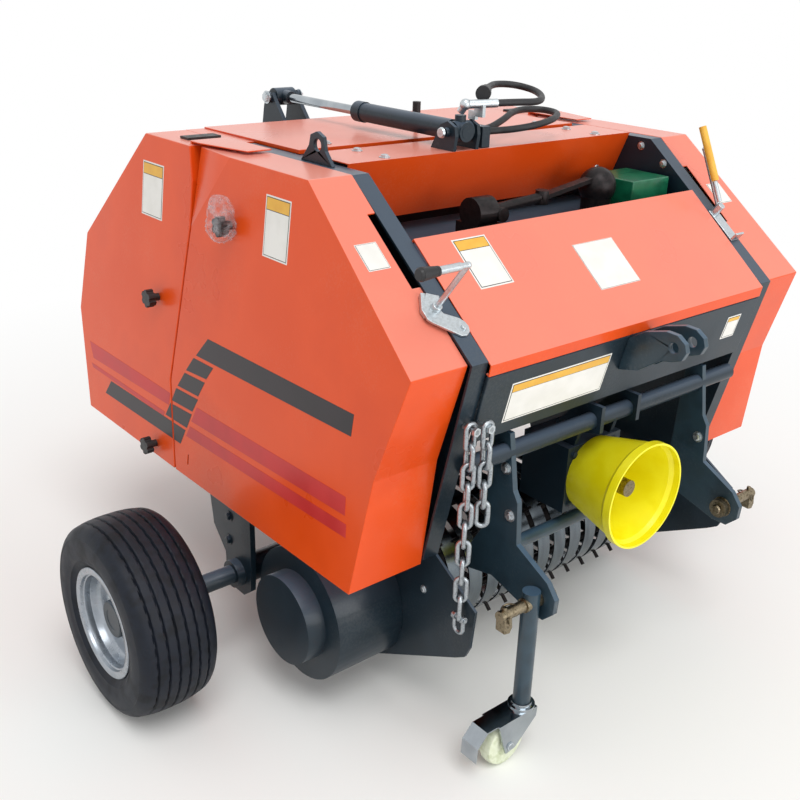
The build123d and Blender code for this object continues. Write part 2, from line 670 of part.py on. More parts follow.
barrel = bar_y(RAM_X, RAM_Z, BARREL_R, RAM_FRONT_Y + 22, RAM_GLAND_Y)
barrel += bar_y(RAM_X, RAM_Z, BARREL_R + 2, RAM_GLAND_Y - 26, RAM_GLAND_Y)
barrel += bar_x(RAM_FRONT_Y, RAM_Z, BARREL_R, RAM_X - 22, RAM_X + 22)
barrel += bar_y(RAM_X, RAM_Z, 15.0, RAM_FRONT_Y, RAM_FRONT_Y + 30)
barrel += bar_y(RAM_X, RAM_Z, BARREL_R - 1, RAM_FRONT_Y - BARREL_R - 1, RAM_FRONT_Y - 8)
barrel += bar_y(RAM_X, RAM_Z, BARREL_R - 7, RAM_FRONT_Y - BARREL_R - 1.6, RAM_FRONT_Y - 8)
barrel -= bar_x(RAM_FRONT_Y, RAM_Z, RAM_PIN_R + RUN_GAP, RAM_X - 50, RAM_X + 50)
barrel -= bar_y(RAM_X, RAM_Z, ROD_R + RUN_GAP, RAM_GLAND_Y - 190, RAM_GLAND_Y + 1)
# The port's nut on the closed end turns with the barrel.
barrel += bar_z(RAM_X, RAM_FRONT_Y, 11.0, RAM_Z + BARREL_R - 4, RAM_Z + NUT_TOP)
save(barrel, "ram_barrel")
rod = bar_y(RAM_X, RAM_Z, ROD_R, RAM_GLAND_Y - 40, RAM_REAR_Y)
rod += bar_x(RAM_REAR_Y, RAM_Z, 19.0, RAM_X - LEVER_X + 2, RAM_X + LEVER_X - 2)
rod += bar_x(RAM_REAR_Y, RAM_Z, RAM_PIN_R, RAM_X - LEVER_X + 1, RAM_X + LEVER_X - 1)
save(rod, "ram_rod")


# ---------------------------------------------------------------- hydraulic hoses
def hose(name, points):
    """A hose of straight runs with arcs as large as its runs allow; prints their radii."""
    radii = []
    for a, b, c in zip(points, points[1:], points[2:]):
        before, after = Vector(*b) - Vector(*a), Vector(*c) - Vector(*b)
        turn = math.radians(before.get_angle(after))
        radii.append(0.45 * min(before.length, after.length) / math.tan(turn / 2))
    path = FilletPolyline(*points, radius=radii)
    start = Plane(origin=points[0], z_dir=Vector(*points[1]) - Vector(*points[0]))
    print(name, "radii", [round(r, 1) for r in radii], "length", round(path.length, 1))
    save(sweep(start * Circle(HOSE_R), path=path), name)


def along(a, b, distance):
    """The point beyond b, on the line from a."""
    step = (Vector(*b) - Vector(*a)).normalized() * distance
    return tuple(Vector(*b) + step)


# Elbow and ferrule stand on a foot on the bracket's inner ear, clear of the turning nut.
elbow = (RAM_X, RAM_FRONT_Y - 12, RAM_Z + 52)
ferrule_end = (RAM_X + 62, RAM_FRONT_Y - 36, RAM_Z + 54)
clamp_x = RAM_X + RAM_EAR_X
fittings = Pos(*elbow) * Sphere(11.0) + rod_between(elbow, ferrule_end, 8.5)
fittings += rod_between((RAM_X, RAM_FRONT_Y, RAM_Z + NUT_TOP + MOVE_GAP + 1.5), elbow, 8.0)
fittings += block(clamp_x, clamp_x + RAM_EAR_T, RAM_FRONT_Y - 34, RAM_FRONT_Y - 10, RAM_Z + 28, RAM_Z + 52)
foot = block(clamp_x, clamp_x + RAM_EAR_T, RAM_FRONT_Y - 14, RAM_FRONT_Y + 6, RAM_Z + 21 + SEAT, RAM_Z + 38)
save(fittings + foot, "hose_fittings")

UPPER_HOSE = [
    ferrule_end,
    along(elbow, ferrule_end, 40.0),
    (52.0, -178.0, 1149.0),
    (98.0, -142.0, 1154.0),
    (122.0, -95.0, 1161.0),
    (106.0, -52.0, 1168.0),
    (60.0, -45.0, 1171.0),
    (15.0, -68.0, 1170.0),
    (-24.0, -100.0, 1168.0),
]
hose("hose_upper", UPPER_HOSE)
coupler_end = along(UPPER_HOSE[-2], UPPER_HOSE[-1], 38.0)
cap_end = along(UPPER_HOSE[-2], UPPER_HOSE[-1], 52.0)
coupler = rod_between(UPPER_HOSE[-1], coupler_end, 11.0)
coupler += rod_between(coupler_end, cap_end, 15.0)
save(coupler, "hose_coupler")

port_x = RAM_X + RAM_EAR_X + RAM_EAR_T + 12
port_face = port_x + 22
port_z = ROOF_Z + 30
port = block(port_x, port_face, ROOF_FRONT_Y + 4, ROOF_FRONT_Y + 52, ROOF_Z + SEAT, port_z + 12)
save(port, "port_block")
port_in = ROOF_FRONT_Y + 39
port_out = ROOF_FRONT_Y + 16
LOWER_HOSE = [
    (port_face, port_in, port_z),
    (port_face + 28, port_in, port_z),
    (52.0, -82.0, 1104.0),
    (100.0, -56.0, 1112.0),
    (150.0, -40.0, 1114.0),
    (194.0, -56.0, 1113.0),
    (192.0, -104.0, 1111.0),
    (148.0, -140.0, 1109.0),
    (98.0, -162.0, 1106.0),
    (46.0, -168.0, 1101.0),
    (8.0, -146.0, 1094.0),
    (port_face + 26, port_out, port_z),
    (port_face, port_out, port_z),
]
hose("hose_lower", LOWER_HOSE)

# ---------------------------------------------------------------- roof fittings
lug_foot = TOP_Z - 1 + SEAT
lug = plate_yz(
    [
        (-128.0, lug_foot),
        (-29.0, lug_foot),
        (-55.0, 1085.0),
        (-60.0, 1104.0),
        (-80.0, 1112.0),
        (-100.0, 1104.0),
        (-105.0, 1080.0),
    ],
    BAR_MID,
    BAR_MID + 8,
)
lug -= bar_x(-82.0, 1088.0, 11.0, BAR_MID - 10, BAR_MID + 20)
save(mirror(lug, about=Plane.YZ), "lifting_lug")

# ---------------------------------------------------------------- cranks
SLOPE_LINE = BAR_LINE[1:3]
BAR_TILT = math.atan2(SLOPE_LINE[0][1] - SLOPE_LINE[1][1], SLOPE_LINE[0][0] - SLOPE_LINE[1][0])


def off_bar(y, out):
    """The point (y, z) standing out squarely from the folded bar at y."""
    z = line_z(SLOPE_LINE, y)
    return (y - out * math.sin(BAR_TILT), z + out * math.cos(BAR_TILT))


CRANK_R = 5.0
brackets = Part()
rods = Part()
# Side and the height up the slope of each crank's foot.
for side, foot_y in ((-1, -420.0), (1, -372.0)):
    x = side * BAR_MID
    near, far = foot_y + 26, foot_y - 40
    foot = [off_bar(near, SEAT), off_bar(near, 4), off_bar(far + 4, 4), off_bar(far + 4, 22)]
    foot += [off_bar(far, 22), off_bar(far, SEAT)]
    brackets += plate_yz(foot, x - 14, x + 14)
    boss = [off_bar(foot_y + 8, 3), off_bar(foot_y + 8, 26), off_bar(foot_y - 8, 26), off_bar(foot_y - 8, 3)]
    brackets += plate_yz(boss, x - 8, x + 8)
# The right crank stands square to the bar, its arm towards the right.
x = -BAR_MID
low, high = off_bar(-420, 26 + SEAT), off_bar(-420, 122)
rods += rod_between((x, *low), (x, *high), CRANK_R)
rods += Pos(x, *high) * Sphere(CRANK_R + 1)
rods += bar_x(*high, CRANK_R, x, x - 50)
grips = bar_x(*high, 10, x - 50, x - 105)
# The left crank is folded up, beside a second handle of bare steel.
fold = Vector(0, 0.43, 0.90).normalized()
square = Vector(0, -math.sin(BAR_TILT), math.cos(BAR_TILT))
lean_lift = CRANK_R * math.sin(math.radians(square.get_angle(fold)))
low = off_bar(-368, 26 + SEAT + lean_lift)
left_low = Vector(BAR_MID, *low)
left_high = left_low + fold * 45
rods += rod_between(left_low, left_high, CRANK_R)
sleeve = rod_between(left_high, left_high + fold * 118, 8.0)
save(sleeve, "crank_sleeve")
second_low = Vector(BAR_MID + 14, *off_bar(-376, 4 + SEAT + lean_lift))
rods += rod_between(second_low, second_low + fold * 138, CRANK_R)
save(brackets, "crank_brackets")
save(rods, "crank_rods")
save(grips, "crank_grips")

# ---------------------------------------------------------------- twine gear in the slot
TWINE_Y = -215.0
tray = block(-PANEL_HALF, PANEL_HALF, -345, -25, TWINE_TRAY_Z, TWINE_TRAY_Z + SHEET)
tray += block(PLATE_X + SEAT, BAR_X + 89, TWINE_Y - 55, TWINE_Y + 55, TWINE_TRAY_Z + 2, TWINE_TRAY_Z + 5)
save(tray, "twine_tray")
gear_foot = TWINE_TRAY_Z + SHEET + SEAT
hub_z = TWINE_TRAY_Z + 62
hub_y = TWINE_Y - 18
twine = block(-178, -118, TWINE_Y - 50, TWINE_Y + 20, gear_foot, hub_z - 20)
twine += bar_x(hub_y, hub_z, 30, -178, -128)
twine += bar_y(-120, hub_z - 4, 14, hub_y - 34, hub_y + 20)
elbow_x, bend_z = 20.0, hub_z + 10
twine += rod_between((-140, hub_y, hub_z), (elbow_x, hub_y, bend_z), 10)
twine += bar_z(elbow_x, hub_y, 14, bend_z - 14, bend_z + 14)
DOME_R = 40.0
box_x = PANEL_HALF - 17
box_w = 125.0
dome_x = box_x - box_w - DOME_R - MOVE_GAP
dome_z = TWINE_TRAY_Z + 72
arm = Plane(origin=(elbow_x, hub_y, bend_z), z_dir=(dome_x - elbow_x, TWINE_Y - hub_y, dome_z + 20 - bend_z))
twine += arm * Pos(0, 0, 82) * Box(9, 22, 164)
twine += bar_z(dome_x, TWINE_Y, DOME_R - 8, gear_foot, dome_z)
twine += Pos(dome_x, TWINE_Y, dome_z) * Sphere(DOME_R)
save(twine, "twine_drive")
save(block(box_x - box_w, box_x, TWINE_Y - 60, TWINE_Y + 60, gear_foot, gear_foot + 82), "twine_box")
ball_foot = TWINE_TRAY_Z + 5 + SEAT
ball_room = cover_half(ball_foot + 95, SHEET + MOVE_GAP) - (BAR_X + MOVE_GAP)
ball_r = ball_room / 2
ball_line = [(0, 0), (ball_r * 0.75, 0), (ball_r, 18), (ball_r, 72), (ball_r * 0.8, 88), (0, 95)]
ball = revolve(Plane.XZ * make_face(Polyline(*ball_line, close=True)), Axis.Z, 360)
save(Pos(BAR_X + MOVE_GAP + ball_r, TWINE_Y, ball_foot) * ball, "twine_ball")


# ---------------------------------------------------------------- safety chain
def link(turned):
    """One link of bevelled wire, upright, its middle at the origin."""
    straight = LINK_PITCH / 2 - LINK_HALF + WIRE_R
    bend = LINK_HALF * math.sin(math.radians(45))

    def oval(side):
        """Outline of the link's outer side (+1) or inner side (-1)."""
        half = LINK_HALF + side * WIRE_R
        corner = half * math.sin(math.radians(45)) if side > 0 else bend * half / LINK_HALF
        right = [(half, -straight), (half, straight), (corner, straight + corner)]
        top = [(0, straight + half), (-corner, straight + corner)]
        left = [(-half, straight), (-half, -straight), (-corner, -straight - corner)]
        return right + top + left + [(0, -straight - half), (corner, -straight - corner)]

    ring = make_face(Polyline(*oval(1), close=True)) - make_face(Polyline(*oval(-1), close=True))
    flat = Pos(0, WIRE_R, 0) * extrude(Plane.XZ * ring, amount=2 * WIRE_R)
    rims = flat.faces().filter_by(Axis.Y)
    body = chamfer(rims.edges(), WIRE_R * 0.55)
    return Rot(0, 0, 90 if turned else 0) * body


def strand(x, y, top, count, first):
    """Links hanging from the height top, every second one turned."""
    step = LINK_PITCH - SEAT
    return [Pos(x, y, top - step * i) * link((i + first) % 2 == 1) for i in range(count)]


CHAIN_X = -BAR_MID - 4.0
CHAIN_Y = -516.0
CHAIN_TOP = 668.0
CHAIN_LINKS = 10
END_X = CHAIN_X + 28.0
END_Y = -528.0
END_LINKS = 5
peg_z = CHAIN_TOP + LINK_PITCH / 2 - LINK_HALF + WIRE_R
PEG_R = 4.5


def front_y(line, z):
    """The y of a steep line of points (y, z) at height z."""
    return line_z([(b, a) for a, b in line], z)


chain = strand(CHAIN_X, CHAIN_Y, CHAIN_TOP, CHAIN_LINKS, 0)
chain += strand(END_X, END_Y, CHAIN_TOP, END_LINKS, 0)
bar_face = front_y(BAR_LINE[2:4], peg_z + PEG_R) - SEAT
panel_face = front_y(HEAD_LINE, peg_z + PEG_R) - SEAT
chain.append(bar_y(CHAIN_X, peg_z, PEG_R, CHAIN_Y - 16, bar_face))
chain.append(bar_y(END_X, peg_z, PEG_R, END_Y - 10, panel_face))
save(Part() + chain, "safety_chain")
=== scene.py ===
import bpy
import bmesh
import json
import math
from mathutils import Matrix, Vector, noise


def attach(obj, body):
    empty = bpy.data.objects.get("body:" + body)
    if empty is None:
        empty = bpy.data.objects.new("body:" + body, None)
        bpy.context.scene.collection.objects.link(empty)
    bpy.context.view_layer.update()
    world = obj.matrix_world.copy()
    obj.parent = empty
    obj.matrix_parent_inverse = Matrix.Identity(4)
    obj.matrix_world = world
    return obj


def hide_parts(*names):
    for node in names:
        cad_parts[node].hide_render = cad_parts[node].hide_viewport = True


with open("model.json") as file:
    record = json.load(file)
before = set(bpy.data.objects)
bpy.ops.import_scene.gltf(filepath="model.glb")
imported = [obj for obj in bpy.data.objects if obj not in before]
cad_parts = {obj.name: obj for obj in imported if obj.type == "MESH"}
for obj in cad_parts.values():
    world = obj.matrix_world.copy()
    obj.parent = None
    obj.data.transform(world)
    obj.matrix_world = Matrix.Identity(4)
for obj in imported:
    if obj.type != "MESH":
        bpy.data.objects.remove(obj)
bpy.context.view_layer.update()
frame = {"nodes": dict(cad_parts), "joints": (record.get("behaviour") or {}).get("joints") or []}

# %% [markdown]
# # A mini round baler
# The baler hangs on a tractor's three-point hitch and rolls hay into small round bales.
# Its CAD solids are already in place, so this file dresses them: paint, rubber, chrome
# and galvanised wire, and the small pieces that were left out of the solids, such as the
# tyre's tread, bolts, lynch pins and the bands of coloured film on the side covers.
# We could also model everything here, but then sizes would drift from the solids.

JOINT = {j["name"]: j for j in frame["joints"]}
NODE = frame["nodes"]
AXLE_Y = JOINT["wheel_left_spin"]["pos_m"][1]


def mm(x, y, z):
    """A point in millimetres, measured from the ground under the axle, as metres."""
    return Vector((x / 1000, y / 1000 + AXLE_Y, z / 1000))


# The side covers lean out from their roof to their lower edge, in millimetres.
TOP_Z, BOTTOM_Z = 1055.0, 372.0
COVER_TOP_HALF, COVER_BOTTOM_HALF = 529.4, 603.4


def cover_half(z):
    """Half width over the leaning side covers at height z, in millimetres."""
    lean = (COVER_BOTTOM_HALF - COVER_TOP_HALF) / (TOP_Z - BOTTOM_Z)
    return COVER_TOP_HALF + (TOP_Z - z) * lean


# %% [markdown]
# ## Camera, light and floor
# A machine is best lit like a product: a bright soft sky, one broad lamp that gives the
# folds their shading, and a pale floor that only keeps the shadow. A point lamp would be
# simpler, but it would burn small hard spots into the paint.

# %% The camera
scene = bpy.context.scene
scene.view_settings.view_transform = "Standard"


def stand(name, data, body=None):
    """An object in the scene with this data, riding on a body if one is named."""
    obj = bpy.data.objects.new(name, data)
    scene.collection.objects.link(obj)
    if body:
        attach(obj, body)
    return obj


camera = stand("camera", bpy.data.cameras.new("camera"))
scene.camera = camera
camera.data.lens = 46.13
camera.data.clip_end = 60
AZIMUTH, DOWN, ROLL = math.radians(40.56), math.radians(22.94), math.radians(1.91)
camera_at = mm(-1527, -1623, 1391)
turn = Matrix.Rotation(-AZIMUTH, 4, "Z") @ Matrix.Rotation(math.pi / 2 - DOWN, 4, "X")
camera.matrix_world = Matrix.Translation(camera_at) @ turn @ Matrix.Rotation(ROLL, 4, "Z")

# %% Helpers for colours, nodes and empty materials
def linear(hex_colour):
    """An sRGB hex colour as linear red, green, blue and alpha."""
    parts = [int(hex_colour[i:i + 2], 16) / 255 for i in (0, 2, 4)]
    out = [c / 12.92 if c <= 0.04045 else ((c + 0.055) / 1.055) ** 2.4 for c in parts]
    return (*out, 1.0)


def add(tree, kind, settings=None, **inputs):
    """Add a node. Settings are its own properties; inputs are values or sockets."""
    node = tree.nodes.new(kind)
    for name, value in (settings or {}).items():
        setattr(node, name, value)
    for name, value in inputs.items():
        socket = node.inputs[int(name[1:])] if name[0] == "_" else node.inputs[
            name.replace("_", " ")]
        if isinstance(value, bpy.types.NodeSocket):
            tree.links.new(value, socket)
        elif isinstance(value, bpy.types.Node):
            tree.links.new(value.outputs[0], socket)
        else:
            socket.default_value = value
    return node


def ramp(tree, factor, stops):
    """A colour ramp through (position, colour) stops."""
    node = add(tree, "ShaderNodeValToRGB", Fac=factor)
    while len(node.color_ramp.elements) < len(stops):
        node.color_ramp.elements.new(0.5)
    for element, (position, colour) in zip(node.color_ramp.elements, stops):
        element.position = position
        element.color = colour
    return node


def maths(tree, operation, first, second=0.5):
    """A maths node on one or two values or sockets."""
    return add(tree, "ShaderNodeMath", {"operation": operation}, _0=first, _1=second)


def grey(value):
    """A ramp stop's grey."""
    return (value, value, value, 1.0)


def empty_material(name):
    """A new material with no nodes, and its tree."""
    material = bpy.data.materials.new(name)
    material.use_nodes = True
    material.node_tree.nodes.clear()
    return material, material.node_tree


# %% World, lamps and floor
world = bpy.data.worlds.new("studio")
scene.world = world
world.use_nodes = True
world.node_tree.nodes.clear()
tree = world.node_tree
sky = add(tree, "ShaderNodeBackground", Color=(1, 1, 1, 1), Strength=0.66)
white = add(tree, "ShaderNodeBackground", Color=(1, 1, 1, 1), Strength=1.0)


def seen_white(tree):
    """One where a ray comes from the camera, a mirror-like surface or through glass."""
    path = add(tree, "ShaderNodeLightPath")
    rays = [path.outputs[f"Is {kind} Ray"] for kind in ("Glossy", "Transmission", "Camera")]
    mirrored = maths(tree, "MAXIMUM", rays[0], rays[1])
    return maths(tree, "MAXIMUM", rays[2], mirrored)


mixed = add(tree, "ShaderNodeMixShader", Fac=seen_white(tree), _1=sky, _2=white)
add(tree, "ShaderNodeOutputWorld", Surface=mixed)


def lamp(name, kind, place, aim, **settings):
    """A lamp at a place, pointing at another."""
    data = bpy.data.lights.new(name, kind)
    for key, value in settings.items():
        setattr(data, key, value)
    obj = stand(name, data)
    obj.location = place
    obj.rotation_euler = (Vector(aim) - Vector(place)).to_track_quat("-Z", "Y").to_euler()


lamp("broad_lamp", "SUN", (-0.9, -2.2, 5.0), (0, 0, 0.4), energy=1.25, angle=math.radians(35))
lamp("front_panel_lamp", "AREA", (0.6, -4.6, 1.5), (0, -0.3, 0.7), energy=62.0, shape="RECTANGLE",
     size=3.0, size_y=2.0)

# The floor is plain and nearly white near the machine, where it takes the shadow, and
# turns into the white backdrop further out, so no horizon shows.
floor_paint, tree = empty_material("pale_floor")
shade = add(tree, "ShaderNodeBsdfDiffuse", Color=linear("F5F5F3"))
glow = add(tree, "ShaderNodeEmission", Color=(1, 1, 1, 1), Strength=1.0)
ground = add(tree, "ShaderNodeTexCoord").outputs["Object"]
away = add(tree, "ShaderNodeVectorMath", {"operation": "LENGTH"}, Vector=ground)
NEAR, FAR = 1.2, 2.6
far = add(tree, "ShaderNodeMapRange", Value=away.outputs["Value"], From_Min=NEAR, From_Max=FAR)
factor = maths(tree, "MULTIPLY", far, seen_white(tree))
mixed = add(tree, "ShaderNodeMixShader", Fac=factor, _1=shade, _2=glow)
add(tree, "ShaderNodeOutputMaterial", Surface=mixed)
floor_mesh = bpy.data.meshes.new("floor")
reach = 14.0
floor_mesh.from_pydata([(-reach, -reach, 0), (reach, -reach, 0), (reach, reach, 0),
                       (-reach, reach, 0)], [], [(0, 1, 2, 3)])
floor_mesh.materials.append(floor_paint)
floor = stand("floor", floor_mesh)
floor.location.z = -0.0005
print("camera, lamps and floor stand")

# %% [markdown]
# ## Materials
# Each finish is one small node tree. The colour is never flat: sprayed enamel has a
# slight waviness and road dust, rolled steel has drawn lines and smudges, zinc has
# crystals, rubber has bloom. The enamels also carry a painted sky reflection, a paler tint
# on faces that look up. We read Object coordinates, in metres, so every pattern's
# scale is a real size, and the same finish fits any piece. Image textures could do this
# too, but they would need unwrapping and would blur close up.

# %% A helper for a finish
PAINT = {}


def finish(name, colours, rough, metallic=0.0, grain_mm=8.0, stretch=(1, 1, 1), bump=0.0,
           bump_mm=1.0, coat=0.0, specks=None, specular=0.5, painted_sky_reflection=None):
    """A finish whose colour drifts through colours over patches grain_mm wide, with a
    finer relief bump_mm wide; specks is (colour, share) of small spots of dust or rust,
    and the last argument is (colour, share) of a painted sky reflection: a pale tint mixed
    into the colour on faces that look up, more the more they face up."""
    material, tree = empty_material(name)
    place = add(tree, "ShaderNodeTexCoord").outputs["Object"]
    drawn = add(tree, "ShaderNodeMapping", Vector=place, Scale=stretch)
    patches = add(tree, "ShaderNodeTexNoise", Vector=drawn, Scale=1000.0 / grain_mm, Detail=4.0)
    stops = [(0.35 + 0.3 * i / max(1, len(colours) - 1), linear(c)) for i, c in enumerate(colours)]
    colour = ramp(tree, patches.outputs["Fac"], stops).outputs["Color"]
    # Painted sky reflection: faces that look up get a pale tint mixed into their colour.
    if painted_sky_reflection:
        facing = add(tree, "ShaderNodeSeparateXYZ", Vector=tree.nodes[0].outputs["Normal"])
        reflection_share = add(tree, "ShaderNodeMapRange", Value=facing.outputs["Z"], From_Min=0.35,
                      From_Max=1.0, To_Max=painted_sky_reflection[1])
        reflected_colour = add(tree, "ShaderNodeMix", {"data_type": "RGBA"}, _0=reflection_share.outputs[0], _6=colour,
                    _7=linear(painted_sky_reflection[0]))
        colour = reflected_colour.outputs[2]
    if specks:
        spot_colour, share = specks
        spots = add(tree, "ShaderNodeTexNoise", Vector=place, Scale=220.0, Detail=5.0)
        cloud = add(tree, "ShaderNodeTexNoise", Vector=place, Scale=6.0, Detail=3.0)
        both = maths(tree, "MULTIPLY", spots.outputs["Fac"], cloud.outputs["Fac"])
        mask = ramp(tree, both, [(0.30 - share * 0.1, grey(0)), (0.36, grey(share))])
        blend = add(tree, "ShaderNodeMix", {"data_type": "RGBA"}, _0=mask.outputs["Color"],
                    _6=colour, _7=linear(spot_colour))
        colour = blend.outputs[2]
    low, high = rough
    roughness = ramp(tree, patches.outputs["Fac"], [(0.3, grey(low)), (0.7, grey(high))])
    shader = add(tree, "ShaderNodeBsdfPrincipled", Base_Color=colour,
                 Roughness=roughness.outputs["Color"], Metallic=metallic)
    shader.inputs["Coat Weight"].default_value = coat
    shader.inputs["Coat Roughness"].default_value = 0.08
    shader.inputs["Specular IOR Level"].default_value = specular
    if bump:
        relief = add(tree, "ShaderNodeTexNoise", Vector=drawn, Scale=1000.0 / bump_mm, Detail=2.0)
        dent = add(tree, "ShaderNodeBump", Height=relief.outputs["Fac"], Strength=bump,
                   Distance=0.001)
        tree.links.new(dent.outputs[0], shader.inputs["Normal"])
    add(tree, "ShaderNodeOutputMaterial", Surface=shader)
    PAINT[name] = material


# %% The finishes of this machine
# Orange two-pack enamel sprayed on folded sheet: glossy, with a slight orange peel, and a painted
# pale pink sky reflection on faces that look up.
finish("orange_enamel", ["DE4A0E", "E65014", "E24D11"], (0.26, 0.36), grain_mm=260, bump=0.08,
       bump_mm=5, coat=0.1, specular=0.3, specks=("D9A184", 0.05), painted_sky_reflection=("FFD9CE", 0.36))
# Dark blue-grey chassis enamel, satin, with dust specks, and a painted bluish sky reflection on
# the upper faces.
finish("blue_grey_enamel", ["12212B", "182833", "15242E"], (0.30, 0.44), grain_mm=120, bump=0.12,
       bump_mm=4, coat=0.08, specular=0.36, specks=("5E6463", 0.1), painted_sky_reflection=("7E8FA6", 0.3))
# The hitch is a cooler blue, brushed on by hand, so it is less even.
# Its upper faces carry a painted blue sky reflection.
finish("hitch_enamel", ["22343F", "2A404D", "263A45"], (0.28, 0.44), grain_mm=70, bump=0.16,
       bump_mm=6, coat=0.2, specks=("6A6F73", 0.12), painted_sky_reflection=("5F80A0", 0.3))
# Cold-rolled spring steel, drawn along its length, oiled and slightly stained; its base colour is
# kept dark as a painted reflection of dark surroundings.
finish("rolled_steel", ["545B61", "6D757B", "5D646A"], (0.16, 0.26), metallic=1.0, grain_mm=90,
       stretch=(2, 0.5, 0.5), bump=0.03, bump_mm=1.2)
# Hard chrome on the ram's rod and the caster's pressed fork; its base colour is kept below bright
# chrome as a painted reflection of dark surroundings.
finish("chrome_plate", ["9EA5AB", "B2B9BE"], (0.08, 0.18), metallic=1.0, grain_mm=50)
# Bright zinc plate on bolts, pins and brackets: pale with a faint yellow.
finish("zinc_plate", ["C2C9CD", "CCD3D7", "BEC5C9"], (0.30, 0.42), metallic=1.0, grain_mm=9,
       bump=0.1, bump_mm=1, specks=("857B68", 0.15))
# Hot-dip galvanised chain wire, with the frosty spangle of zinc.
finish("galvanised_wire", ["8A9096", "B2B8BC", "9BA1A6"], (0.32, 0.5), metallic=1.0, grain_mm=4,
       bump=0.2, bump_mm=1.5)
# Blued spring steel of the tines, browned by the first rust.
finish("spring_steel", ["1B1718", "251F20", "141314"], (0.36, 0.55), metallic=0.6, grain_mm=14,
       bump=0.2, bump_mm=2)
# Yellow polyethylene guard: waxy and slightly mottled by moulding.
finish("yellow_polyethylene", ["F1E409", "F6EC1E", "F3E70F"], (0.30, 0.42), grain_mm=60, bump=0.05,
       bump_mm=6, coat=0.1)
# Black nylon knobs and grips.
finish("black_nylon", ["141416", "1E1E21"], (0.38, 0.55), grain_mm=12, bump=0.15, bump_mm=0.8)
# Green enamel on the twine gear's case.
finish("green_enamel", ["0E5A3E", "14704E", "0F6344"], (0.28, 0.4), grain_mm=40, bump=0.1,
       bump_mm=4, coat=0.3)
# Natural rubber tyre, with a little dust and bloom.
finish("tyre_rubber", ["0F141D", "141A25", "0D1118"], (0.48, 0.62), grain_mm=35, bump=0.2,
       bump_mm=1.4, specks=("3C3D40", 0.06), specular=0.28)
# Silver wheel paint over steel.
finish("silver_paint", ["939BA4", "A6ADB5", "9BA3AB"], (0.24, 0.36), metallic=0.75, grain_mm=30,
       bump=0.06, bump_mm=2, coat=0.2, specks=("77705F", 0.2))
# Cream cast nylon of the caster's wheel.
finish("cream_nylon", ["D3DABB", "DEE4CB", "C8D0AE"], (0.35, 0.5), grain_mm=18, bump=0.05,
       bump_mm=2, coat=0.1)
# Hydraulic hose: extruded rubber with a cloth wrap that leaves fine rings.
finish("hose_rubber", ["17171A", "212125"], (0.42, 0.6), grain_mm=10, bump=0.3, bump_mm=1.2)
# Black vinyl film of the stripes, and the red film.
finish("black_film", ["2A2426", "332C2F"], (0.3, 0.42), grain_mm=90, specular=0.4)
finish("red_film", ["BE2A28", "CC3230"], (0.28, 0.4), grain_mm=90, specular=0.4)
# White printed film of the blank plates, with its dark rule and amber head.
finish("white_film", ["E4E2DC", "EDEBE6"], (0.35, 0.5), grain_mm=40)
finish("rule_film", ["26262A", "303034"], (0.4, 0.5), grain_mm=30)
finish("amber_film", ["E3A93A", "EBB749"], (0.35, 0.5), grain_mm=30)
# Polypropylene baler twine, off-white and fluffy.
finish("twine_fibre", ["CFCABB", "E0DCD0", "BDB6A4"], (0.7, 0.9), grain_mm=3, bump=0.6,
       bump_mm=0.6)
# Old yellow chromate on the lynch pins and hitch pins, dulled to a grey brown.
finish("yellow_chromate", ["7A705C", "938771", "655B49"], (0.26, 0.44), metallic=1.0, grain_mm=7,
       bump=0.1, bump_mm=1, specks=("5A4A2E", 0.3))
# Clear polythene bag film: it shows as a pale gloss over what it wraps.
PAINT["clear_polythene"], tree = empty_material("clear_polythene")
crease = add(tree, "ShaderNodeTexNoise", Vector=add(tree, "ShaderNodeTexCoord").outputs["Object"],
             Scale=70.0, Detail=3.0)
veil = ramp(tree, crease.outputs["Fac"], [(0.40, grey(0.05)), (0.66, grey(0.42))])
clear = add(tree, "ShaderNodeBsdfPrincipled", Base_Color=linear("CFCDD2"), Roughness=0.12,
            Alpha=veil.outputs["Color"])
add(tree, "ShaderNodeOutputMaterial", Surface=clear)
# The record's slot that each finish belongs to.
COVERS = [f"cover_{end}_{side}" for end in ("front", "rear") for side in ("left", "right")]
NODE_FINISH = {
    "orange_enamel": COVERS + ["front_panel", "top_cover", "tailgate_skin"],
    "blue_grey_enamel": ["side_plates", "headstock_panel", "cross_tube", "gearbox",
                         "band_carriers", "drum_case", "rollers_front", "rollers_rear",
                         "twine_tray", "axle_hangers", "ram_bracket", "lifting_lug",
                         "tailgate_plates", "ram_lever", "ram_barrel", "port_block"],
    "hitch_enamel": ["hitch_plates", "top_link_ears", "caster_leg", "low_tube"],
    "yellow_chromate": ["hitch_pins", "pto_stub"],
    "zinc_plate": ["crank_brackets", "crank_rods", "hose_fittings"],
    "galvanised_wire": ["safety_chain"],
    "rolled_steel": ["stripper_bands"],
    "chrome_plate": ["ram_rod", "caster_fork"],
    "spring_steel": ["pickup_reel", "twine_drive"],
    "yellow_polyethylene": ["pto_guard"],
    "amber_film": ["crank_sleeve"],
    "black_nylon": ["front_cover_knobs", "rear_cover_knobs", "crank_grips", "roof_knob",
                    "cover_straps", "hose_coupler"],
    "green_enamel": ["twine_box"],
    "twine_fibre": ["twine_ball"],
    "tyre_rubber": ["tyre_left", "tyre_right"],
    "silver_paint": ["rim_left", "rim_right"],
    "cream_nylon": ["caster_wheel"],
    "hose_rubber": ["hose_upper", "hose_lower"],
}
for name, nodes in NODE_FINISH.items():
    for node in nodes:
        mesh = NODE[node].data
        mesh.materials.clear()
        mesh.materials.append(PAINT[name])
left_over = set(NODE) - {n for nodes in NODE_FINISH.values() for n in nodes}
print("finishes", len(PAINT), "nodes without one", sorted(left_over))

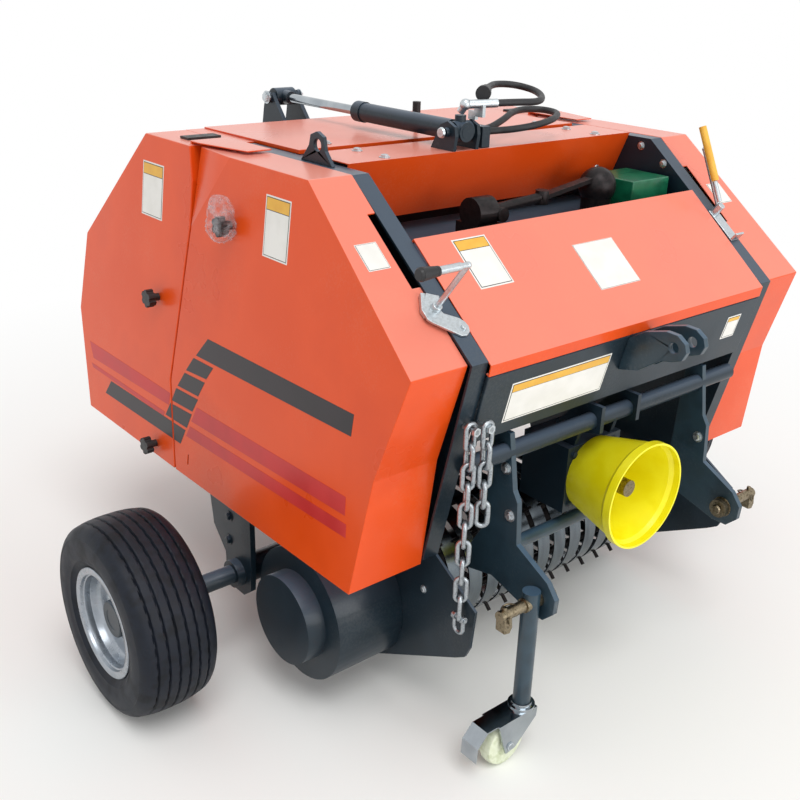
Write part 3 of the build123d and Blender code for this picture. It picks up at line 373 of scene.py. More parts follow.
# %% [markdown]
# ## The two hydraulic hoses
# Rubber hose of 14 mm feeds the ram. It is stiff, so it stands in two loops over the roof
# from the ram's elbow to its coupler, and from the port block back into it. A mesh tube
# along hand-placed rings would show kinks. A NURBS curve on a few points bends as hose
# does, and its bevel gives the round wall.

# %% A helper for a hose, and the two hoses
HOSE_R = 0.007


def hose(name, points):
    """A round hose along a smooth curve through the pull of its points."""
    curve = bpy.data.curves.new(name, "CURVE")
    curve.dimensions = "3D"
    spline = curve.splines.new("NURBS")
    spline.points.add(len(points) - 1)
    for point, place in zip(spline.points, points):
        point.co = (*mm(*place), 1)
    spline.order_u = 3
    spline.use_endpoint_u = True
    spline.resolution_u = 10
    curve.bevel_depth = HOSE_R
    curve.bevel_resolution = 5
    curve.use_fill_caps = True
    curve.materials.append(PAINT["hose_rubber"])
    return stand(name, curve)


elbow = Vector((-110.0, -133.0, 1148.0))
ferrule_end = Vector((-48.0, -157.0, 1150.0))
second = ferrule_end + (ferrule_end - elbow).normalized() * 40
upper_points = [ferrule_end, second, (52, -178, 1149), (98, -142, 1154), (122, -95, 1161),
                (106, -52, 1168), (60, -45, 1171), (15, -68, 1170), (-24, -100, 1168)]
upper = hose("hose_upper_line", upper_points)
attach(upper, "chassis")
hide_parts("hose_upper")
mm(*upper_points[0])

lower_points = [(-42, -103, 1091), (-14, -103, 1091), (52, -82, 1104), (100, -56, 1112),
                (150, -40, 1114), (194, -56, 1113), (192, -104, 1111), (148, -140, 1109),
                (98, -162, 1106), (46, -168, 1101), (8, -146, 1094), (-16, -126, 1091),
                (-42, -126, 1091)]
lower = hose("hose_lower_line", lower_points)
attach(lower, "chassis")
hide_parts("hose_lower")
print("hoses", len(upper_points), len(lower_points), "points")

# %% [markdown]
# ## Softened folds
# Real sheet folds over a radius of a few millimetres, and a sprayed edge is never sharp,
# so it catches a thin line of light. We weld the CAD pieces listed below and round their
# sharp edges with a small bevel. Rounding in the solids would cost many faces for the same look.

# %% Weld and bevel the painted pieces
FOLD_DEGREES, WELD = 28, 0.00005


def round_edges(obj, width_mm, degrees):
    """A small bevel on the edges that fold by more than this many degrees."""
    bevel = obj.modifiers.new("bevel", "BEVEL")
    bevel.width = width_mm / 1000
    bevel.segments = 2
    bevel.limit_method = "ANGLE"
    bevel.angle_limit = math.radians(degrees)
    bevel.harden_normals = True


FOLDS = {
    4.0: ["gearbox"], 3.0: ["drum_case", "twine_box"], 2.4: COVERS, 1.6: ["side_plates"],
    1.5: ["headstock_panel", "hitch_plates", "top_link_ears", "ram_lever", "port_block",
          "twine_drive"],
    1.3: ["front_panel", "top_cover", "tailgate_skin"],
    1.2: ["ram_bracket", "lifting_lug", "axle_hangers"],
    0.9: ["caster_fork"], 0.8: ["crank_brackets", "tailgate_plates"],
}
for width, nodes in FOLDS.items():
    for node in nodes:
        NODE[node].modifiers.new("weld", "WELD").merge_threshold = WELD
        round_edges(NODE[node], width, FOLD_DEGREES)
print("softened", sum(len(nodes) for nodes in FOLDS.values()), "pieces")

# %% [markdown]
# ## Stripes of coloured film
# The side covers carry cut vinyl film: two red bands and a black band that runs back,
# climbs a ladder of slanted blocks and runs forward again. Film is cut flat and laid on,
# so each piece is a thin closed sheet on the cover's leaning face, cut where the seam
# between the two covers runs. Painting it into the material would blur its edges.

# %% Helpers for a thin sheet, and for film on a side cover
FILM_T = 0.35
FILM_GAP = 0.05
SHARP = 38  # folds above this many degrees stay crisp


def closed_mesh(bm, name, material, smooth=False):
    """The finished mesh of a closed shape, with its faces turned outwards."""
    bmesh.ops.recalc_face_normals(bm, faces=bm.faces)
    mesh = bpy.data.meshes.new(name)
    bm.to_mesh(mesh)
    bm.free()
    mesh.materials.append(PAINT[material])
    if smooth:
        mesh.shade_smooth()
        mesh.set_sharp_from_angle(angle=math.radians(SHARP))
    return mesh


def skin(bm, inner, outer):
    """Close the space between an inner and an outer outline of points in mm."""
    low = [bm.verts.new(mm(*p)) for p in inner]
    high = [bm.verts.new(mm(*p)) for p in outer]
    bm.faces.new(low)
    bm.faces.new(high)
    for i in range(len(low)):
        k = (i + 1) % len(low)
        bm.faces.new((low[i], low[k], high[k], high[i]))


def thin_sheet(name, inner, outer, body, material):
    """A closed sheet between two outlines, as an object on a body."""
    bm = bmesh.new()
    skin(bm, inner, outer)
    stand(name, closed_mesh(bm, name, material), body)


def film(name, outline, body, material, side):
    """A thin closed piece of film on the side cover, with outline points (y, z) in mm."""
    inner, outer = [], []
    for y, z in outline:
        base = cover_half(z) + FILM_GAP
        inner.append((side * base, y, z))
        outer.append((side * (base + FILM_T), y, z))
    thin_sheet(name, inner, outer, body, material)


def on_line(line, at):
    """The second number on the line through two pairs, where the first number is at."""
    (a, b), (c, d) = line
    return b + (d - b) * (at - a) / (c - a)


def seam_y(z):
    """The front cover's rear edge at height z, in mm."""
    line = [(TOP_Z, 180.0), (900.0, 180.0), (563.0, 233.0), (BOTTOM_Z, 196.0)]
    for upper, lower in zip(line, line[1:]):
        if lower[0] <= z <= upper[0]:
            return on_line((upper, lower), z)
    return line[-1][1]


def split_at_seam(outline):
    """The outline's part on the front cover, and its part on the rear cover."""
    def clip(points, keep):
        out = []
        for i, a in enumerate(points):
            b = points[(i + 1) % len(points)]
            da, db = keep(a), keep(b)
            if da >= 0:
                out.append(a)
            if da * db < 0:
                t = da / (da - db)
                out.append((a[0] + (b[0] - a[0]) * t, a[1] + (b[1] - a[1]) * t))
        return out
    front = clip(outline, lambda p: seam_y(p[1]) - 1.0 - p[0])
    rear = clip(outline, lambda p: p[0] - seam_y(p[1]) - 6.0)
    return front, rear


# %% Lay the stripes on both sides
SIDES = ((-1, "right"), (1, "left"))
STRIPES = {
    "black_film": [
        ("upper_band", [(92, 694), (135, 647), (-384, 660), (-386, 700)]),
        ("rung_1", [(144, 639), (66, 641), (90, 610), (172, 604)]),
        ("rung_2", [(177, 597), (95, 601), (118, 564), (204, 560)]),
        ("rung_3", [(209, 553), (118, 557), (138, 524), (226, 520)]),
        ("rung_4", [(231, 512), (140, 517), (157, 481), (250, 479)]),
        ("lower_band", [(162, 474), (180, 437), (544, 432), (516, 470)]),
    ],
    "red_film": [
        ("wide_red_front", [(121, 539), (140, 502), (-390, 516), (-387, 550)]),
        ("thin_red_front", [(145, 489), (158, 463), (-398, 477), (-396, 502)]),
        ("wide_red_rear", [(635, 534), (613, 498), (238, 505), (234, 533)]),
        ("thin_red_rear", [(623, 483), (614, 474), (258, 474), (254, 484)]),
    ],
}
count = 0
for side, word in SIDES:
    for material, pieces in STRIPES.items():
        for name, outline in pieces:
            front, rear = split_at_seam(outline)
            for part, cover, body in ((front, "front", "chassis"), (rear, "rear", "tailgate")):
                if len(part) > 2:
                    film(f"{name}_{cover}_{word}", part, body, material, side)
                    count += 1
print("film pieces", count)

# %% [markdown]
# ## Blank plates
# Where such machines carry instruction plates, ours carry blank ones: white film with a
# dark rule round it and an amber head. They hold no words or signs.

# %% A helper for a blank plate on any flat face
LAYER = 0.25       # one layer of a plate's film
HEAD_SHARE = 0.24  # how much of a plate its amber head takes


def plate(name, corners, body, head=True, border=3.0):
    """A blank plate. Corners in mm, from the head's left end on, anticlockwise from outside."""
    a, b, c, d = [Vector(p) for p in corners]
    out = (b - a).cross(d - a).normalized()
    if out.dot(a - Vector((0, 100, 700))) < 0:
        out = -out

    def sheet_of(word, u0, u1, v0, v1, level, material):
        rim = []
        for u, v in ((u0, v0), (u1, v0), (u1, v1), (u0, v1)):
            rim.append((a + (b - a) * u) * (1 - v) + (d + (c - d) * u) * v)
        low = [p + out * (FILM_GAP + level) for p in rim]
        high = [p + out * (FILM_GAP + level + LAYER) for p in rim]
        thin_sheet(f"{name}_{word}", low, high, body, material)

    wide, tall = (b - a).length, (d - a).length
    eu, ev = border / wide, border / tall
    sheet_of("field", 0, 1, 0, 1, 0.0, "white_film")
    sheet_of("rule", eu, 1 - eu, ev, 1 - ev, LAYER, "rule_film")
    inner_u, inner_v = eu * 1.45, ev * 1.45
    top = HEAD_SHARE if head else inner_v
    if head:
        sheet_of("head", inner_u, 1 - inner_u, inner_v, top - 0.012, 2 * LAYER, "amber_film")
    sheet_of("blank", inner_u, 1 - inner_u, top, 1 - inner_v, 2 * LAYER, "white_film")


def on_cover(side):
    """What puts a point (y, z) on a side cover's outer face, in mm."""
    return lambda y, z: (side * cover_half(z), y, z)


# %% The plates
def edges(place, a, b, top, low):
    """A plate's four corners between side edges a and b, put on a face by place."""
    return [place(u, v) for u, v in ((a, top), (b, top), (b, low), (a, low))]


for side, word in SIDES:
    plate(f"plate_rear_{word}", edges(on_cover(side), 390, 300, 1000, 888), "tailgate")
    plate(f"plate_front_{word}", edges(on_cover(side), -80, -159, 1011, 900), "chassis")
PANEL = [(-531.0, 795.0), (-326.0, 963.0)]


def on_panel(x, y, line=PANEL):
    """A point on the sloping front panel, in mm."""
    return (x, y, on_line(line, y))


plate("plate_panel_right", edges(on_panel, -324, -243, -339, -422), "chassis")
plate("plate_panel_middle", edges(on_panel, -53, 62, -384, -466), "chassis", head=False,
      border=1.0)
HEAD = [(640.0, -494.0), (771.0, -526.5)]


def on_head(x, z):
    """A point on the headstock panel, in mm."""
    return (x, on_line(HEAD, z), z)


plate("plate_head_wide", edges(on_head, -332, -70, 744, 664), "chassis")
plate("plate_head_small", edges(on_head, 305, 352, 742, 690), "chassis")
SLOPE = [(-515.0, 798.0), (-200.0, 1055.0)]
for side, word in SIDES:
    points = edges(lambda x, y: on_panel(x * -side, y, SLOPE), -516, -470, -311, -354)
    if side > 0:
        points = [points[i] for i in (1, 0, 3, 2)]
    plate(f"plate_flange_{word}", points, "chassis", head=False, border=1.5)
print("plates on covers, panel and headstock")

# %% [markdown]
# ## Tyres
# An implement tyre has low circumferential ribs with wavy grooves between them, so it
# rolls freely and doesn't dig in. The sidewall is plain, with fine moulding rings. The
# tread is too fine for the solids, so we turn a profile round the axle ourselves and
# press the grooves in by a rule of width and angle. A displacement modifier on a plain
# torus would need far more faces for the same crisp groove.

# %% A helper for things turned round an axle
def turned(name, rings, steps, material, close=True):
    """A mesh turned round X. rings gives, for an angle, the list of (x, radius) in mm."""
    bm = bmesh.new()
    rows = []
    for k in range(steps):
        angle = 2 * math.pi * k / steps
        row = []
        for x, r in rings(angle):
            row.append(bm.verts.new((x / 1000, r / 1000 * math.cos(angle),
                       r / 1000 * math.sin(angle))))
        rows.append(row)
    for k in range(steps):
        a, b = rows[k], rows[(k + 1) % steps]
        last = len(a) if close else len(a) - 1
        for i in range(last):
            j = (i + 1) % len(a)
            bm.faces.new((a[i], a[j], b[j], b[i]))
    bmesh.ops.remove_doubles(bm, verts=bm.verts, dist=1e-6)
    return closed_mesh(bm, name, material, smooth=True)


def settle(mesh, place, body, turn=0.0):
    """Put a finished mesh in its place, with its own object left at the origin."""
    mesh.transform(Matrix.Translation(place) @ Matrix.Rotation(turn, 4, "Z"))
    obj = stand(mesh.name, mesh, body)
    return obj


# %% The ribbed tyres
GROOVES = (-52.0, -31.0, -10.5, 10.5, 31.0, 52.0)
GROOVE_W, GROOVE_DEEP, WAVE, WAVE_COUNT = 2.4, 5.0, 0.5, 44
TREAD_R, TREAD_HALF, TREAD_STEP, SHOULDER_DROP = 199.9, 60.0, 1.5, 6.5
TURN_STEPS = 276
SIDE = [(101.6, 67.5), (108.0, 68.3), (113.0, 68.3), (119.0, 72.5), (127.0, 77.0), (128.0, 78.4),
        (129.5, 78.8), (131.0, 78.4), (140.0, 81.3), (152.0, 82.3), (164.0, 81.4), (172.0, 80.0),
        (173.0, 80.6), (174.5, 80.2), (180.0, 77.6), (185.5, 73.6), (190.0, 68.5), (192.6, 63.5)]


def tyre_ring(angle):
    """The tyre's section at an angle, with the wavy grooves pressed in."""
    points = [(x, r) for r, x in SIDE]
    for i in range(int(2 * TREAD_HALF / TREAD_STEP) + 1):
        x = TREAD_HALF - TREAD_STEP * i
        shoulder = SHOULDER_DROP * (abs(x) / TREAD_HALF) ** 2.6
        deep = 0.0
        for k, groove in enumerate(GROOVES):
            centre = groove + WAVE * math.sin(WAVE_COUNT * angle + k * 2.1)
            near = 1.0 - abs(x - centre) / GROOVE_W
            if near > 0:
                deep = max(deep, min(1.0, near * 1.8))
        points.append((x, TREAD_R - shoulder - GROOVE_DEEP * deep))
    points += [(-x, r) for r, x in SIDE[::-1]]
    return points


for side in ("left", "right"):
    place = Vector(JOINT[f"wheel_{side}_spin"]["pos_m"])
    tyre = settle(turned(f"ribbed_tyre_{side}", tyre_ring, TURN_STEPS, "tyre_rubber"), place,
                  f"wheel_{side}")
    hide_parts(f"tyre_{side}")
    print(tyre.name, len(tyre.data.polygons), "faces")

# %% [markdown]
# ## Bolts
# Hex bolts hold the panels, hitch and wheels. They repeat by the dozen, so Geometry Nodes
# places them: each point of a small mesh carries the way the bolt faces and its size,
# and the tree instances one head with its washer there. Joining copies by hand would
# work, but every change would mean moving each copy.

# %% The bolt tree
def field_group(name, **sizes):
    """A tree that takes points, sizes and a finish and gives a mesh, and its input node."""
    group = bpy.data.node_groups.new(name, "GeometryNodeTree")
    for way in ("INPUT", "OUTPUT"):
        group.interface.new_socket("Geometry", in_out=way, socket_type="NodeSocketGeometry")
    for key, value in sizes.items():
        socket = group.interface.new_socket(key.replace("_", " "), in_out="INPUT",
                                            socket_type="NodeSocketFloat")
        socket.default_value = value
    group.interface.new_socket("Finish", in_out="INPUT", socket_type="NodeSocketMaterial")
    return group, add(group, "NodeGroupInput")


def attribute(group, name, kind="FLOAT"):
    """What each point carries under this name."""
    node = add(group, "GeometryNodeInputNamedAttribute", {"data_type": kind}, Name=name)
    return node.outputs["Attribute"]


def spread(group, given, **settings):
    """Instances on the given points, made real and given their finish."""
    copies = add(group, "GeometryNodeInstanceOnPoints", Points=given.outputs["Geometry"],
                 **settings)
    real = add(group, "GeometryNodeRealizeInstances", Geometry=copies)
    return add(group, "GeometryNodeSetMaterial", Geometry=real, Material=given.outputs["Finish"])


bolt_tree, given = field_group("bolt_heads", Head_Height=0.62, Washer=1.35)
head = add(bolt_tree, "GeometryNodeMeshCylinder", Vertices=6, Radius=1.0,
           Depth=given.outputs["Head Height"])
half = maths(bolt_tree, "MULTIPLY", given.outputs["Head Height"], 0.5)
lift = add(bolt_tree, "ShaderNodeCombineXYZ", Z=half)
head_up = add(bolt_tree, "GeometryNodeTransform", Geometry=head.outputs["Mesh"], Translation=lift)
crown = add(bolt_tree, "GeometryNodeMeshCone", Vertices=18, Radius_Top=0.55, Radius_Bottom=0.86,
            Depth=0.14)
top = add(bolt_tree, "ShaderNodeCombineXYZ", Z=given.outputs["Head Height"])
crown_up = add(bolt_tree, "GeometryNodeTransform", Geometry=crown.outputs["Mesh"], Translation=top)
washer = add(bolt_tree, "GeometryNodeMeshCylinder", Vertices=20, Radius=given.outputs["Washer"],
             Depth=0.16)
washer_up = add(bolt_tree, "GeometryNodeTransform", Geometry=washer.outputs["Mesh"],
                Translation=(0, 0, 0.08))
bolt = add(bolt_tree, "GeometryNodeJoinGeometry")
for piece in (head_up, crown_up, washer_up):
    bolt_tree.links.new(piece.outputs[0], bolt.inputs[0])
facing = add(bolt_tree, "FunctionNodeAlignRotationToVector", {"axis": "Z"},
             Vector=attribute(bolt_tree, "out", "FLOAT_VECTOR"))
made = spread(bolt_tree, given, Instance=bolt, Rotation=facing, Scale=attribute(bolt_tree, "size"))
add(bolt_tree, "NodeGroupOutput", Geometry=made)


def grow(name, group, points, body, settings, floats=(), vectors=()):
    """Run a tree over points (in metres) with per-point attributes, and keep the plain mesh."""
    mesh = bpy.data.meshes.new(name)
    mesh.from_pydata([tuple(p) for p in points], [], [])
    for key, values in floats:
        mesh.attributes.new(key, "FLOAT", "POINT").data.foreach_set("value", values)
    for key, values in vectors:
        flat = [c for v in values for c in v]
        mesh.attributes.new(key, "FLOAT_VECTOR", "POINT").data.foreach_set("vector", flat)
    seed = stand(name + "_points", mesh)
    modifier = seed.modifiers.new("tree", "NODES")
    modifier.node_group = group
    for item in group.interface.items_tree:
        if item.item_type == "SOCKET" and item.in_out == "INPUT" and item.name in settings:
            modifier[item.identifier] = settings[item.name]
    bpy.context.view_layer.update()
    graph = bpy.context.evaluated_depsgraph_get()
    made = bpy.data.meshes.new_from_object(seed.evaluated_get(graph))
    bpy.data.objects.remove(seed)
    made.name = name
    print(name, len(points), "points", len(made.polygons), "faces")
    return stand(name, made, body)


def bolts(name, body, rows, finish_name="zinc_plate"):
    """Bolts at rows of (point in mm, way out, head radius in mm)."""
    made = grow(name, bolt_tree, [mm(*p) for p, _, _ in rows], body,
                {"Finish": PAINT[finish_name]}, floats=[("size", [r / 1000 for _, _, r in rows])],
                vectors=[("out", [Vector(v).normalized() for _, v, _ in rows])])


# %% Bolts on the chassis
rows = []
for side in (-1, 1):
    # On the side plates' inner faces over the twine bay, and where the roof is held.
    rows += [((side * 399, y, z), (-side, 0, 0), 7) for y, z in ((-177, 1036), (-242, 1006))]
    rows += [((side * 300, y, 1061.2), (0, 0, 1), 8) for y in (-122, -38)]
    rows += [((side * 330, -109, 985), (0, -0.95, 0.3), 7)]
    # Hitch plates to cross tube flange, and the pin's nut inside.
    rows += [((side * 296, y, z), (side, 0, 0), 9) for y, z in ((-487, 560), (-505, 470))]
    rows += [((side * 284, -505, 470), (-side, 0, 0), 9)]
    # Down the front edges of the side plates, under the panels.
    for y, z in ((-505, 740), (-486, 660), (-470, 590), (-452, 515), (-436, 448)):
        rows += [((side * 405, y + 16, z), (side, 0, 0), 6)]
    rows += [((side * 405, -400, 300), (side, 0, 0), 6)]
painted = []
for side in (-1, 1):
    painted += [((side * 572, 30, 320), (side, 0, 0), 9), ((side * 572, 34, 262), (side, 0, 0), 9)]
# The gearbox's front flange.
for x in (-62, 62):
    for z in (396, 504):
        painted += [((x, -450.3, z), (0, -1, 0), 7)]
bolts("chassis_bolts", "chassis", rows)
bolts("painted_bolts", "chassis", painted, "blue_grey_enamel")
WHEEL_FACE, WHEEL_Z, NUT_CIRCLE, NUTS = 835.5, 200, 49, 5
for side, word in SIDES:
    rows = []
    for k in range(NUTS):
        angle = math.radians(360 / NUTS * k + 18)
        y, z = NUT_CIRCLE * math.cos(angle), WHEEL_Z + NUT_CIRCLE * math.sin(angle)
        rows += [((side * WHEEL_FACE, y, z), (side, 0, 0), 9)]
    bolts(f"wheel_nuts_{word}", f"wheel_{word}", rows)
rows = [((side * 300, 60, 1061.5), (0, 0.02, 1), 7) for side in (-1, 1)]
rows += [((-110 + side * 45, 500, 1096), (side, 0, 0), 11) for side in (-1, 1)]
bolts("tailgate_bolts", "tailgate", rows)

# %% [markdown]
# ## The safety chain
# Chain of 9 mm galvanised wire hangs in two falls from pegs. The solids have bevelled
# links. Here one round link, a circle pulled long and swept with a wire, is instanced
# down each fall. Every second one is turned by a quarter, and the fall twists slightly.

# %% The chain tree and the chain
chain_tree, given = field_group("chain_links", Half_Width=0.0102, Straight=0.0135, Wire=0.0045)
ring = add(chain_tree, "GeometryNodeCurvePrimitiveCircle", Resolution=22,
           Radius=given.outputs["Half Width"])
where = add(chain_tree, "GeometryNodeInputPosition")
xyz = add(chain_tree, "ShaderNodeSeparateXYZ", Vector=where)
pull = maths(chain_tree, "MULTIPLY", maths(chain_tree, "SIGN", xyz.outputs["Y"]),
             given.outputs["Straight"])
offset = add(chain_tree, "ShaderNodeCombineXYZ", Y=pull)
oval = add(chain_tree, "GeometryNodeSetPosition", Geometry=ring, Offset=offset)
wire = add(chain_tree, "GeometryNodeCurvePrimitiveCircle", Resolution=10,
           Radius=given.outputs["Wire"])
swept = add(chain_tree, "GeometryNodeCurveToMesh", Curve=oval, Profile_Curve=wire)
upright = add(chain_tree, "GeometryNodeTransform", Geometry=swept, Rotation=(math.pi / 2, 0, 0))
about = add(chain_tree, "ShaderNodeCombineXYZ", Z=attribute(chain_tree, "twist"))
made = spread(chain_tree, given, Instance=upright, Rotation=about)
smooth = add(chain_tree, "GeometryNodeSetShadeSmooth", Geometry=made)
add(chain_tree, "NodeGroupOutput", Geometry=smooth)

PITCH = 37.7
points, twists = [], []
for x, y, count in ((-421.5, -516.0, 10), (-393.5, -528.0, 5)):
    for i in range(count):
        points.append(mm(x, y, 668.0 - PITCH * i))
        twists.append((math.pi / 2 if i % 2 else 0.0) - min(0.2 * i, math.pi / 4))
# The solids' own pegs hold both falls, so they are drawn again as short studs.
chain = grow("round_chain", chain_tree, points, "chassis", {"Finish": PAINT["galvanised_wire"]},
             floats=[("twist", twists)])
bm = bmesh.new()
PEG_Z, PEG_R, HEAD_R, HEAD_DEEP = 681.5, 4.5, 8.5, 6
flat_on_y = Matrix.Rotation(math.pi / 2, 4, "X")
for x, front, back in ((-421.5, -532.0, -498.4), (-393.5, -538.0, -506.0)):
    for y, radius, deep, sides in (((front + back) / 2, PEG_R, back - front, 20),
                                   (front + HEAD_DEEP / 2, HEAD_R, HEAD_DEEP, 6)):
        bmesh.ops.create_cone(
            bm, cap_ends=True, segments=sides, radius1=radius / 1000, radius2=radius / 1000,
            depth=deep / 1000, matrix=Matrix.Translation(mm(x, y, PEG_Z)) @ flat_on_y)
stand("chain_pegs", closed_mesh(bm, "chain_pegs", "zinc_plate"), "chassis")
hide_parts("safety_chain")

# %% [markdown]
# ## Rims, hubs and the caster's wheel
# Pressed steel rims have a rolled lip, a bead seat and a well, which show as bright
# rings, and a dark cast hub stands in the middle. We turn both from a profile. The
# caster's wheel is cast nylon with rounded shoulders and a recessed hub.

# %% Turned wheels
RIM = [(68.8, 101.0), (68.8, 113.0), (72.0, 113.4), (73.3, 112.0), (73.3, 101.5), (71.5, 98.6),
       (66.0, 97.0), (64.5, 94.6), (56.0, 93.2), (53.0, 94.2), (50.0, 93.0), (42.0, 91.0),
       (36.0, 88.0), (33.5, 84.0), (31.0, 72.0), (29.5, 64.0), (28.0, 60.0), (18.0, 60.0),
       (26.0, 94.0), (-73.3, 97.0), (-73.3, 113.0), (-68.8, 113.0), (-68.8, 101.0)]
DISC = [(28.0, 62.0), (29.5, 58.0), (28.0, 52.0), (28.0, 0.0), (16.0, 0.0), (16.0, 62.0)]
HUB = [(-40.0, 20.5), (-40.0, 38.0), (49.5, 38.0), (52.0, 35.5), (52.0, 20.5), (46.0, 20.5)]
CAP = [(51.4, 0.0), (51.4, 20.4), (46.2, 20.4), (46.2, 0.0)]
PARTS = [("pressed_rim", RIM, 96, "silver_paint", True),
         ("wheel_disc", DISC, 96, "silver_paint", False),
         ("cast_hub", HUB, 48, "blue_grey_enamel", True),
         ("hub_cap", CAP, 48, "blue_grey_enamel", False)]
for side, sign in (("left", 1), ("right", -1)):
    place = Vector(JOINT[f"wheel_{side}_spin"]["pos_m"])
    for word, profile, steps, material, close in PARTS:
        mesh = turned(f"{word}_{side}", lambda a: [(sign * x, r) for x, r in profile], steps,
                      material, close)
        part = settle(mesh, place, f"wheel_{side}")
        if word == "pressed_rim":
            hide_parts(f"rim_{side}")
CASTER = [(-15, 40), (-13.5, 44.5), (-8, 47.3), (0, 48), (8, 47.3), (13.5, 44.5), (15, 40),
          (15, 25), (12, 22), (12, 13), (15, 12), (15, 7.5), (-15, 7.5), (-15, 12), (-12, 13),
          (-12, 22), (-15, 25)]
roll = settle(turned("cast_caster_wheel", lambda a: CASTER, 72, "cream_nylon"),
              Vector(JOINT["caster_spin"]["pos_m"]), "caster_wheel_body", turn=math.pi / 2)
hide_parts("caster_wheel")
bolts("caster_axle_nuts", "caster_fork_body", [((-363, -590 - 21, 48), (0, -1, 0), 9),
      ((-363, -590 + 21, 48), (0, 1, 0), 9)])
print("rims, hubs and caster wheel turned")

# %% [markdown]
# ## Small steel pieces
# Pins, cranks and brackets are bar and plate bent cold, so they are made from a few
# closed bars and slabs in one mesh, with a bevel that gives every edge its line of light.

# %% Helpers for bars, slabs and the finished mesh
def bar(bm, a, b, r0, r1=None, sides=24):
    """A closed round bar between two points in mm, tapering from r0 to r1."""
    a, b = Vector(a), Vector(b)
    axis = b - a
    along = axis.to_track_quat("Z", "Y").to_matrix().to_4x4()
    place = Matrix.Translation(mm(*((a + b) / 2))) @ along
    bmesh.ops.create_cone(
        bm, cap_ends=True, segments=sides, radius1=r0 / 1000, radius2=(r1 or r0) / 1000,
        depth=axis.length / 1000, matrix=place)


def slab(bm, outline, lift):
    """A plate from its outline in mm, thickened by the vector lift."""
    skin(bm, outline, [Vector(p) + Vector(lift) for p in outline])


def ball(bm, centre, radius):
    """A round bend or end of a bar, in mm."""
    bmesh.ops.create_uvsphere(bm, u_segments=20, v_segments=10, radius=radius / 1000,
                              matrix=Matrix.Translation(mm(*centre)))


WIRE_SIDES = 10


def loop(bm, centre, radius, wire, u, v, start=0.0, end=360.0, steps=28):
    """A ring of round wire in the plane of u and v, from start to end degrees, in mm."""
    centre, u, v = Vector(centre), Vector(u).normalized(), Vector(v).normalized()
    whole = end - start >= 359.9
    rows = []
    for k in range(steps if whole else steps + 1):
        angle = math.radians(start + (end - start) * k / steps)
        out = u * math.cos(angle) + v * math.sin(angle)
        row = []
        for i in range(WIRE_SIDES):
            around = 2 * math.pi * i / WIRE_SIDES
            row.append(bm.verts.new(mm(*(centre + out * (radius + wire * math.cos(around)) +
                       u.cross(v) * wire * math.sin(around)))))
        rows.append(row)
    for a, b in zip(rows, rows[1:] + (rows[:1] if whole else [])):
        for i in range(WIRE_SIDES):
            j = (i + 1) % WIRE_SIDES
            bm.faces.new((a[i], a[j], b[j], b[i]))
    if not whole:
        bm.faces.new(rows[0])
        bm.faces.new(rows[-1])


def keep(bm, name, material, body, round_mm=0.0):
    """Close the work on a mesh: outward faces, finish, rounded edges and its body."""
    mesh = closed_mesh(bm, name, material, smooth=True)
    obj = stand(name, mesh, body)
    if round_mm:
        round_edges(obj, round_mm, SHARP)
    print(name, len(mesh.polygons), "faces")
    return obj


# %% Lynch pins through the hitch pins' tips
bm = bmesh.new()
PIN_Y, PIN_Z = -590, 336
for side in (-1, 1):
    x = side * 383
    bar(bm, (x, PIN_Y, PIN_Z + 17), (x, PIN_Y, PIN_Z - 14), 4.5)
    head = [(x - 9, PIN_Y - 11, 333), (x + 9, PIN_Y - 11, 333), (x + 11, PIN_Y - 12, 312),
            (x + 5, PIN_Y - 12, 302), (x - 9, PIN_Y - 12, 305)]
    slab(bm, head, (0, 22, 0))
    loop(bm, (x - side * 13, PIN_Y, PIN_Z + 6), 15, 1.8, (-side, 0, 0.25), (0, 1, 0), -20, 200)
    for y in (PIN_Y - 14, PIN_Y + 14):
        bar(bm, (x + side, y, 338), (x - side * 2, y, 322), 1.8, sides=10)
    # The nut and washer on the pin's inner end, with the end of its thread.
    bar(bm, (side * 283.6, PIN_Y, PIN_Z), (side * 281, PIN_Y, PIN_Z), 22, sides=28)
    bar(bm, (side * 262.4, PIN_Y, PIN_Z), (side * 257, PIN_Y, PIN_Z), 11.0, 9.5)
keep(bm, "lynch_pins", "yellow_chromate", "chassis", 0.7)

# %% The cranks and their zinc brackets
BAR = [(-525.0, 800.0), (-200.0, 1054.0)]
TILT = math.atan2(BAR[1][1] - BAR[0][1], BAR[1][0] - BAR[0][0])


def off_bar(y, out):
    """The point (y, z) standing squarely off the bar's slope at y."""
    return (y - out * math.sin(TILT), on_line(BAR, y) + out * math.cos(TILT))


def on_slope(x, down, out):
    """A point on the bar's slope: x across, down the slope from y = -394, and off it."""
    return (x, *off_bar(-394 - down * math.cos(TILT), out))


LIFT = Vector((0, -math.sin(TILT), math.cos(TILT)))
bm = bmesh.new()
foot = [(-24, 17), (-1, 28), (-9, 42), (-17, 51), (-14, 62), (10, 77), (17, 86), (19, 96),
        (15, 106), (5, 112), (-6, 110), (-14, 103), (-46, 74), (-52, 66), (-51, 56), (-41, 38)]
slab(bm, [on_slope(-417.5 + t, s, 0.6) for t, s in foot], LIFT * 5)
tab = [(-24, 17), (-50, 60), (-50, 46), (-32, 14)]
slab(bm, [on_slope(-417.5 + t - 1, s, -4) for t, s in tab], LIFT * 9)
CRANK_FOOT = Vector(on_slope(-441, 50, 5))
bar(bm, CRANK_FOOT, CRANK_FOOT + LIFT * 9, 10, 8.5)
nub = Vector(on_slope(-411, 97, 5))
bar(bm, nub, nub + LIFT * 5, 5.5, 5.0)
